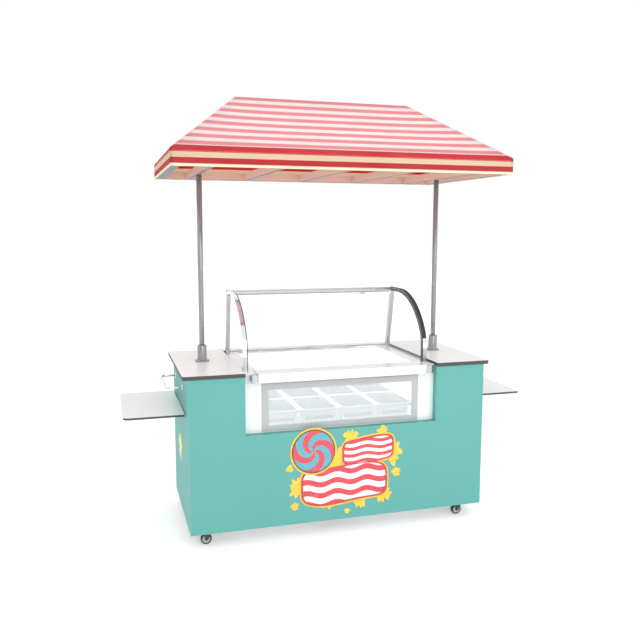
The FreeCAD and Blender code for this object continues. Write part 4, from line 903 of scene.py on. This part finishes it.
@dataclass
class Guard:
    """The curved glass guard: frames, seals, glass, posts and sliding doors."""

    steps: int = 120
    seal_depth: float = 0.013
    wide_seal_depth: float = 0.022
    strip_foot: float = 1.120
    crown: tuple[float, float, float] = (0.095, 0.958, 0.440)
    shoulder: tuple[float, float, float] = (-0.1216, 1.080, 0.1914)
    head_y: float = 0.207
    foot_z: float = 0.979
    pane_outer: float = 0.003
    pane_inner: float = 0.008
    seal_inset: float = 0.001

    def outline(self, inset: float) -> np.ndarray:
        """The guard's side outline, from its top back corner to its foot, as y and z.

        A straight crown, an arc about the crown centre, a tangent arc about the shoulder centre,
        and a straight upright; the inset shortens both radii.
        """
        crown_y, crown_z, crown_r = self.crown
        shoulder_y, shoulder_z, shoulder_r = self.shoulder
        joint = math.atan2(shoulder_z - crown_z, crown_y - shoulder_y)
        first = np.linspace(math.pi / 2, joint, self.steps)
        second = np.linspace(joint, 0.0, self.steps // 2)
        arc_one = np.stack([crown_y - (crown_r - inset) * np.cos(first),
                            crown_z + (crown_r - inset) * np.sin(first)], -1)
        arc_two = np.stack([shoulder_y - (shoulder_r - inset) * np.cos(second),
                            shoulder_z + (shoulder_r - inset) * np.sin(second)], -1)
        head = np.array([[self.head_y, crown_z + crown_r - inset]])
        foot = np.array([[shoulder_y - shoulder_r + inset, self.foot_z]])
        return np.concatenate([head, arc_one, arc_two[1:], foot])

    def front_glass(self) -> None:
        """The bent front pane: the outline at two insets, joined across the guard's width."""
        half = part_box("guard_front_glass")[1].x
        outer, inner = self.outline(self.pane_outer), self.outline(self.pane_inner)[::-1]
        loop = np.concatenate([outer, inner, outer[:1]])
        rows = []
        for x in (-half, half):
            rows.append(np.column_stack([np.full(len(loop), x), loop]))
        ends = [np.column_stack([np.full(len(loop), x), self.centre_line(loop)]) for x in (-half, half)]
        points = np.stack([ends[0], rows[0], rows[1], ends[1]])
        piece = surface("guard_pane_front", points)
        piece.data.materials.append(GUARD_GLASS.make())
        piece.data.materials.append(GLASS_EDGE.make())
        sides = np.empty(len(piece.data.polygons) * 3)
        piece.data.polygons.foreach_get("normal", sides)
        centres = np.empty(len(piece.data.polygons) * 3)
        piece.data.polygons.foreach_get("center", centres)
        on_end = np.abs(sides.reshape(-1, 3)[:, 0]) > LEVEL
        at_foot = centres.reshape(-1, 3)[:, 2] < self.foot_z + 0.0005
        piece.data.polygons.foreach_set("material_index", (on_end | at_foot).astype(np.int32))
        publish(piece, GUARD_GLASS, "cart", "clear_glass", "guard_front_glass")

    @staticmethod
    def centre_line(loop: np.ndarray) -> np.ndarray:
        """Each outline point moved to the middle of the pane's thickness, so the end faces close."""
        count = (len(loop) - 1) // 2
        outer, inner = loop[:count], loop[count:2 * count][::-1]
        middle = (outer + inner) / 2
        return np.concatenate([middle, middle[::-1], middle[:1]])

    def seal(self, side: Side, depth: float) -> None:
        """A black seal beside the bent pane: the guard's outline at two insets, across the seal's width.

        Args:
            side: the end it is on.
            depth: how far it reaches in from the guard's outline.
        """
        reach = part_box("guard_gaskets")[1].x
        outer, inner = self.outline(self.seal_inset), self.outline(depth)
        near, far = side.value * (reach - 0.0048), side.value * (reach - 0.0002)
        rows = [
            np.column_stack([np.full(len(loop), x), loop])
            for x, loop in ((near, outer), (far, outer), (far, inner), (near, inner))
        ]
        grid = np.stack([*rows, rows[0]])
        ends = [np.broadcast_to(grid[:4, i].mean(axis=0), (5, 1, 3)) for i in (0, -1)]
        piece = surface(f"guard_seal_{side.name.lower()}", np.concatenate([ends[0], grid, ends[1]], axis=1))
        nodes = ("guard_gaskets",) if side is Side.LEFT else ()
        publish(piece, RUBBER, "cart", SLOT_OF["guard_gaskets"], *nodes)

    def strip(self, frames: bpy.types.Object) -> None:
        """Blacken the right frame's outer face from the crown to below the shoulder, as a rubber strip."""
        frames.data.materials.append(RUBBER.make())
        for face in frames.data.polygons:
            outward = face.normal.z > 0.3 or face.normal.y < -0.3
            if outward and face.center.x > 0.0 and face.center.z > self.strip_foot:
                face.material_index = 1

    def caps(self) -> None:
        """Black moulded caps on the top back corners of the end frames."""
        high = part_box("guard_end_frames")[1]
        for side in Side:
            x = side.value * (high.x - 0.0125)
            cap = rounded_block((x, high.y - 0.009, high.z - 0.0075), (0.0135, 0.0105, 0.0085), 0.3)
            cast(f"guard_cap_{side.name.lower()}", cap, BLACK_PLASTIC, "cart", "black_plastic")

    def build(self) -> None:
        """Make the bent pane and the caps, and dress the rest."""
        self.front_glass()
        self.strip(soften("guard_end_frames", GUARD_SILVER, Edge.ROUND))
        self.seal(Side.LEFT, self.seal_depth)
        self.seal(Side.RIGHT, self.wide_seal_depth)
        soften("guard_end_glass", GUARD_GLASS, Edge.HAIR, GLASS_EDGE)
        soften("guard_top_bar", BRUSHED_X, Edge.BAR)
        soften("guard_posts", BRUSHED_Z, Edge.ROUND)
        soften("guard_tracks", GUARD_SILVER, Edge.HAIR)
        for node in ("sliding_door_left", "sliding_door_right"):
            soften(node, GUARD_GLASS, Edge.THIN, GLASS_EDGE)
        self.caps()


@dataclass
class SideShelves:
    """The fold-down shelves on their pivot brackets."""

    def build(self) -> None:
        """Dress the shelves and brackets."""
        for side in ("left", "right"):
            soften("shelf_" + side, LAMINATE, Edge.PLAIN, CORE, Faces.SIDES)
        soften("shelf_brackets", BRACKET, Edge.PLAIN)


@dataclass
class PushHandle:
    """The bent tube handle on the left end."""

    radius: float = 0.007
    bend: float = 0.024
    flange: float = 0.019
    wall: float = -0.900

    def build(self) -> None:
        """Sweep the tube along two straights, two quarter turns and the grip, and turn its flanges."""
        low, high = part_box("push_handle")
        wall = self.wall
        grip = low.x + self.radius
        z = (low.z + high.z) / 2
        y0 = low.y + self.flange
        y1 = high.y - self.flange
        turn = np.linspace(0.0, math.pi / 2, 14)
        bend, root = self.bend, wall - 0.001
        first = np.stack([grip + bend - bend * np.sin(turn), y0 + bend - bend * np.cos(turn)], -1)
        second = np.stack([grip + bend - bend * np.cos(turn), y1 - bend + bend * np.sin(turn)], -1)
        start = np.stack([np.linspace(root, grip + bend, 8)[:-1], np.full(7, y0)], -1)
        middle = np.stack([np.full(12, grip), np.linspace(y0 + bend, y1 - bend, 14)[1:-1]], -1)
        last = np.stack([np.linspace(grip + bend, root, 8)[1:], np.full(7, y1)], -1)
        flat = np.concatenate([start, first, middle, second, last])
        path = np.column_stack([flat, np.full(len(flat), z)])
        piece = surface("push_handle_tube", tube(path, self.radius, (0, 0, 1), 28))
        publish(piece, POLISHED, "cart", "polished_tube", "push_handle")
        radii = np.array([0.0, 0.019, 0.019, 0.0175, 0.010, 0.0078, 0.0])
        depth = np.array([0.0, 0.0, 0.0032, 0.0046, 0.005, 0.0072, 0.0072])
        for index, y in enumerate((y0, y1)):
            disc = lathe(radii, wall - depth, (0, y, z), 0)
            cast(f"handle_flange_{index + 1}", disc, POLISHED, "cart", "polished_tube")


@dataclass
class Caster:
    """One swivel caster: fork, tyre and hub."""

    corner: str
    half: float = 0.012
    grooves: int = 3

    def build(self) -> None:
        """Turn the tyre, with shallow tread grooves, and the hub, and dress the fork."""
        node = "caster_wheel_" + self.corner
        low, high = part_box(node)
        centre = ((low.x + high.x) / 2, (low.y + high.y) / 2, (low.z + high.z) / 2)
        outer = (high.z - low.z) / 2
        across = np.linspace(-self.half, self.half, 41)
        crown = outer - 0.0022 * np.abs(across / self.half) ** 6
        crown -= 0.0006 * (np.cos(TURN * self.grooves * across / self.half) > 0.82) * (np.abs(across) < 0.009)
        radii = np.concatenate([[0.0235], crown, [0.0235, 0.0235]])
        heights = np.concatenate([[-self.half], across, [self.half, -self.half]])
        tyre = surface("tyre_" + self.corner, lathe(radii, heights, centre, 1, 56))
        publish(tyre, TYRE, node, "caster_tyre", node)
        bore = 0.0041
        ring = np.array([bore, 0.009, 0.0104, 0.0125, 0.0205, 0.0222, 0.02345])
        face = np.array([0.012, 0.012, 0.0108, 0.0082, 0.0082, 0.0104, 0.0112])
        radii = np.concatenate([ring, ring[::-1], ring[:1]])
        heights = np.concatenate([face, -face[::-1], face[:1]])
        hub = surface("hub_" + self.corner, lathe(radii, heights, centre, 1, 56))
        publish(hub, HUB, node, "caster_tyre")
        soften("caster_fork_" + self.corner, CASTER_PAINT, Edge.THIN)


@dataclass
class RearControls:
    """The refrigeration unit and the controls on the server's side."""

    flutes: int = 18
    fins: int = 96

    def knob(self) -> None:
        """A fluted knob: radius swings with a cosine of the angle, and a raised pointer points up."""
        low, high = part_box("thermostat_knob")
        x, z = (low.x + high.x) / 2, (low.z + high.z) / 2
        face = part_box("control_panel")[1].y
        turn = np.linspace(0.0, TURN, self.flutes * 8 + 1)
        turn[-1] = 0.0
        reach = np.array([0.0, 0.0195, 0.020, 0.020, 0.0185, 0.0150, 0.0146, 0.0135, 0.0, ])
        depth = np.array([0.0006, 0.0006, 0.0012, 0.0040, 0.0050, 0.0060, 0.0185, 0.0200, 0.0200])
        fluted = np.array([0, 0, 0, 0, 0, 1, 1, 0.5, 0])[:, None]
        radius = reach[:, None] - 0.0007 * fluted * (0.5 - 0.5 * np.cos(self.flutes * turn))
        grid = np.stack([
            x + radius * np.cos(turn), face + depth[:, None] + 0 * turn, z + radius * np.sin(turn),
        ], axis=-1)
        cast("knob_grip", grid, BLACK_PLASTIC, "thermostat_knob", "black_plastic", "thermostat_knob")
        pointer = rounded_block((x, face + 0.0200, z + 0.0085), (0.0011, 0.0010, 0.0062), 0.3)
        cast("knob_pointer", pointer, WHITE_PANEL, "thermostat_knob", "black_plastic")

    def ticks(self) -> None:
        """Raised marks round the knob, longer every third."""
        low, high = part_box("thermostat_knob")
        x, z = (low.x + high.x) / 2, (low.z + high.z) / 2
        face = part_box("control_panel")[1].y
        for index, angle in enumerate(np.radians(np.linspace(-45.0, 225.0, 10))):
            reach = 0.0016 if index % 3 else 0.0030
            centre = (x + 0.0265 * math.cos(angle), face + 0.0002, z + 0.0265 * math.sin(angle))
            block = rounded_block((0, 0, 0), (reach, 0.0004, 0.0006), 0.3)
            c, s = math.cos(angle), math.sin(angle)
            spun = np.stack([block[..., 0] * c - block[..., 2] * s, block[..., 1],
                             block[..., 0] * s + block[..., 2] * c], axis=-1)
            piece = surface(f"dial_tick_{index + 1}", spun + np.array(centre))
            publish(piece, BLACK_PLASTIC, "cart", "black_plastic")

    def coil_fins(self) -> None:
        """Thin plates side by side across the front of the coil."""
        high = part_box("condenser")[1]
        plate = rounded_block((0, 0, 0), (0.0004, 0.0035, 0.150), 0.15)[::4, ::4]
        plate[:, -1] = plate[:, 0]
        spots = np.zeros((self.fins, 3))
        spots[:, 0] = np.linspace(-0.166, 0.166, self.fins)
        spots[:, 1] = high.y + 0.0038
        spots[:, 2] = 0.304
        points, faces = many(plate, spots)
        publish(surface("condenser_fin_row", points, extra_faces=faces), FIN, "cart", "condenser_aluminium")

    def build(self) -> None:
        """Make the knob, its ticks and the fins, and dress the rest."""
        self.knob()
        self.ticks()
        self.coil_fins()
        soften("control_panel", BRUSHED_X, Edge.FINE)
        soften("service_grille", GALVANISED, Edge.FINE)
        soften("power_switch", SWITCH_RED, Edge.PLAIN)
        soften("power_inlet", BLACK_PLASTIC, Edge.THIN)
        soften("compressor", BLACK_ENAMEL, Edge.SOFT)
        soften("condenser", FIN, Edge.FINE)
        soften("condenser_fan", BLACK_PLASTIC, Edge.HAIR)
        soften("caster_plates", ZINC, Edge.THIN)


@dataclass
class Artwork:
    """Generic printed vinyl on the front and on the left end, with no lettering."""

    skin: float = 0.00035
    rings: int = 14

    def shape(self, radius: np.ndarray, squash: float = 1.0) -> np.ndarray:
        """A flat outline about the origin as across and up, from a radius for each angle."""
        turn = np.linspace(0.0, TURN, len(radius))
        return np.stack([radius * np.cos(turn), squash * radius * np.sin(turn)], axis=-1)

    def plate(
        self, outline: np.ndarray, centre: tuple, wall: Wall, lift: float,
    ) -> tuple[np.ndarray, np.ndarray]:
        """A thin plate whose face is rings from the middle out to an outline.

        Args:
            outline: n by 2, across and up.
            centre: across and up of its middle.
            wall: the side of the body that it is on.
            lift: how far its face stands off the body.

        Returns:
            The grid of points, and its map of angle and reach.
        """
        reach = np.concatenate([np.linspace(0.0, 1.0, self.rings), [1.0, 0.0]])
        lifts = np.concatenate([np.full(self.rings, lift), [0.0, 0.0]])
        closed = outline.copy()
        closed[-1] = closed[0]
        flat = reach[:, None, None] * closed[None] + np.asarray(centre)
        depth = np.broadcast_to(lifts[:, None], flat.shape[:2])
        angle = np.linspace(0.0, 1.0, len(outline))
        art = np.stack(np.meshgrid(angle, reach), axis=-1)
        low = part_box(wall.value)[0]
        if wall is Wall.FRONT:
            return np.stack([flat[..., 0], low.y - depth, flat[..., 1]], axis=-1), art
        return np.stack([low.x - depth, flat[..., 0], flat[..., 1]], axis=-1), art

    def show(self, name: str, outline: np.ndarray, centre: tuple, layer: float, art: PrintedArt,
             wall: Wall = Wall.FRONT) -> None:
        """Make one vinyl piece, its layer deciding how far it stands off."""
        points, chart = self.plate(outline, centre, wall, self.skin * layer)
        piece = surface(name, points, {"Art": chart})
        publish(piece, art, "cart", "teal_paint")

    def splat(self, size: float, seed: int) -> np.ndarray:
        """A paint splat: a circle with smooth bumps of several waves, from a fixed seed."""
        turn = np.linspace(0.0, TURN, 181)
        chance = np.random.default_rng(seed)
        radius = np.ones_like(turn)
        for waves in (3, 5, 8, 11):
            radius += chance.uniform(0.05, 0.17) * np.cos(waves * turn + chance.uniform(0, TURN))
        return self.shape(size * radius)

    def build(self) -> None:
        """Lay out the splats, the swirl sweet on its stick and the two rippled banners."""
        yellow = PrintedArt("yellow_splat", (0.93, 0.62, 0.05), (0.90, 0.57, 0.04), waves=9.0)
        red = PrintedArt("banner_rim", (0.70, 0.050, 0.070), (0.64, 0.045, 0.06), waves=3.0)
        pale = PrintedArt("banner_pale", (0.96, 0.95, 0.92), (0.72, 0.055, 0.080), waves=15.0)
        deep = PrintedArt("banner_deep", (0.72, 0.055, 0.080), (0.95, 0.92, 0.88), waves=24.0)
        spots = ((0.30, 0.46, 0.060), (0.04, 0.58, 0.040), (0.24, 0.60, 0.030), (-0.28, 0.30, 0.050),
                 (-0.10, 0.20, 0.045), (0.10, 0.185, 0.040), (0.25, 0.21, 0.045), (-0.05, 0.43, 0.085),
                 (-0.30, 0.19, 0.022), (0.33, 0.34, 0.026), (0.02, 0.13, 0.016), (-0.33, 0.42, 0.020))
        for index, (x, z, size) in enumerate(spots):
            layer = 1.0 + 0.07 * index
            self.show(f"splat_{index + 1}", self.splat(size, 40 + index), (x, z), layer, yellow)
        turn = np.linspace(0.0, TURN, 181)
        blunt = (np.abs(np.cos(turn)) ** 5 + np.abs(np.sin(turn)) ** 5) ** -0.2
        banners = (
            ("lower", 0.255, 0.40, (0.005, 0.300), pale, 2.4),
            ("upper", 0.150, 0.46, (0.150, 0.492), deep, 2.2),
        )
        for name, half, squash, centre, face, layer in banners:
            parts = (("halo", 0.022, 0.0, yellow), ("rim", 0.013, 0.8, red), ("face", 0.0, 1.6, face))
            for part, grow, rise, ink in parts:
                edge = self.shape(half * blunt, squash)
                edge += grow * np.stack([np.cos(turn), np.sin(turn)], axis=-1)
                edge[:, 1] += 0.012 * np.sin(11.0 * edge[:, 0])
                self.show(f"{name}_banner_{part}", edge, centre, layer + rise, ink)
        stick = self.shape(0.085 * blunt, 1.0) * np.array([0.16, 1.0])
        self.show("sweet_stick", stick, (-0.187, 0.345), 2.1, pale)
        dark = PrintedArt("sweet_rim", (0.16, 0.065, 0.045), (0.14, 0.055, 0.04), waves=3.0)
        swirl = PrintedArt("sweet_swirl", (0.72, 0.07, 0.10), (0.10, 0.42, 0.52), arms=4.0, twist=1.35)
        discs = (("halo", 0.141, 4.2, yellow), ("edge", 0.131, 4.6, dark), ("disc", 0.124, 5.0, swirl))
        for part, radius, layer, ink in discs:
            self.show("sweet_" + part, self.shape(np.full(181, radius)), (-0.187, 0.510), layer, ink)
        self.show("end_splat", self.splat(0.075, 61), (0.030, 0.470), 1.0, yellow, Wall.LEFT)


@dataclass
class Studio:
    """The pale floor, the soft lights and the camera."""

    place: tuple[float, float, float] = (-1.3278, -4.3475, 1.7970)
    azimuth: float = math.radians(-16.752)
    down: float = math.radians(7.274)
    roll: float = math.radians(0.159)
    lens: float = 40.87

    def camera(self) -> None:
        """Aim the camera by its three axes: right, up and backwards."""
        az, el = self.azimuth, self.down
        ahead = np.array([-math.sin(az) * math.cos(el), math.cos(az) * math.cos(el), -math.sin(el)])
        right = np.array([math.cos(az), math.sin(az), 0.0])
        up = np.cross(right, ahead)
        turned = math.cos(self.roll) * right + math.sin(self.roll) * up
        lifted = -math.sin(self.roll) * right + math.cos(self.roll) * up
        data = bpy.data.cameras.new("view")
        data.lens, data.sensor_width = self.lens, 36.0
        data.clip_end = 200.0
        thing = bpy.data.objects.new("view", data)
        axes = np.column_stack([turned, lifted, -ahead, self.place])
        thing.matrix_world = Matrix(np.vstack([axes, [0, 0, 0, 1]]).tolist())
        bpy.context.collection.objects.link(thing)
        bpy.context.scene.camera = thing

    def lamp(self, name: str, place: tuple, aim: tuple, power: float, size: float) -> None:
        """A square soft light that looks at a point."""
        data = bpy.data.lights.new(name, "AREA")
        data.energy, data.size = power, size
        thing = bpy.data.objects.new(name, data)
        thing.location = place
        thing.rotation_euler = (Vector(aim) - Vector(place)).to_track_quat("-Z", "Y").to_euler()
        bpy.context.collection.objects.link(thing)

    def build(self) -> None:
        """Set the white surroundings, the floor, two soft lights and the camera."""
        scene = bpy.context.scene
        scene.view_settings.view_transform = "Standard"
        world = bpy.data.worlds.new("studio")
        world.use_nodes = True
        world.node_tree.nodes["Background"].inputs[0].default_value = (1.0, 1.0, 1.0, 1.0)
        world.node_tree.nodes["Background"].inputs[1].default_value = 1.0
        scene.world = world
        span = np.linspace(-30.0, 30.0, 3)
        points = np.stack([*np.meshgrid(span, span), np.zeros((3, 3))], axis=-1)
        floor = surface("studio_floor", points, closed=False)
        floor.data.materials.append(PALE_FLOOR.make())
        self.lamp("key_light", (0.5, -5.0, 3.1), (0.0, 0.0, 0.9), 52.0, 3.0)
        self.lamp("fill_light", (3.6, -3.0, 3.0), (0.0, 0.0, 1.0), 14.0, 3.0)
        self.camera()


def main() -> None:
    """Build every sub-assembly in order."""
    logging.basicConfig(level=logging.INFO, format="%(message)s")
    assemblies = [
        Studio(), Canopy(), Poles(), Cabinet(), ColdDisplay(), Guard(), SideShelves(), PushHandle(),
        *(Caster(corner) for corner in ("front_left", "front_right", "rear_left", "rear_right")),
        RearControls(), Artwork(),
    ]
    for assembly in assemblies:
        assembly.build()
        LOG.info("done: %s", type(assembly).__name__)


if __name__ == "__main__":
    main()
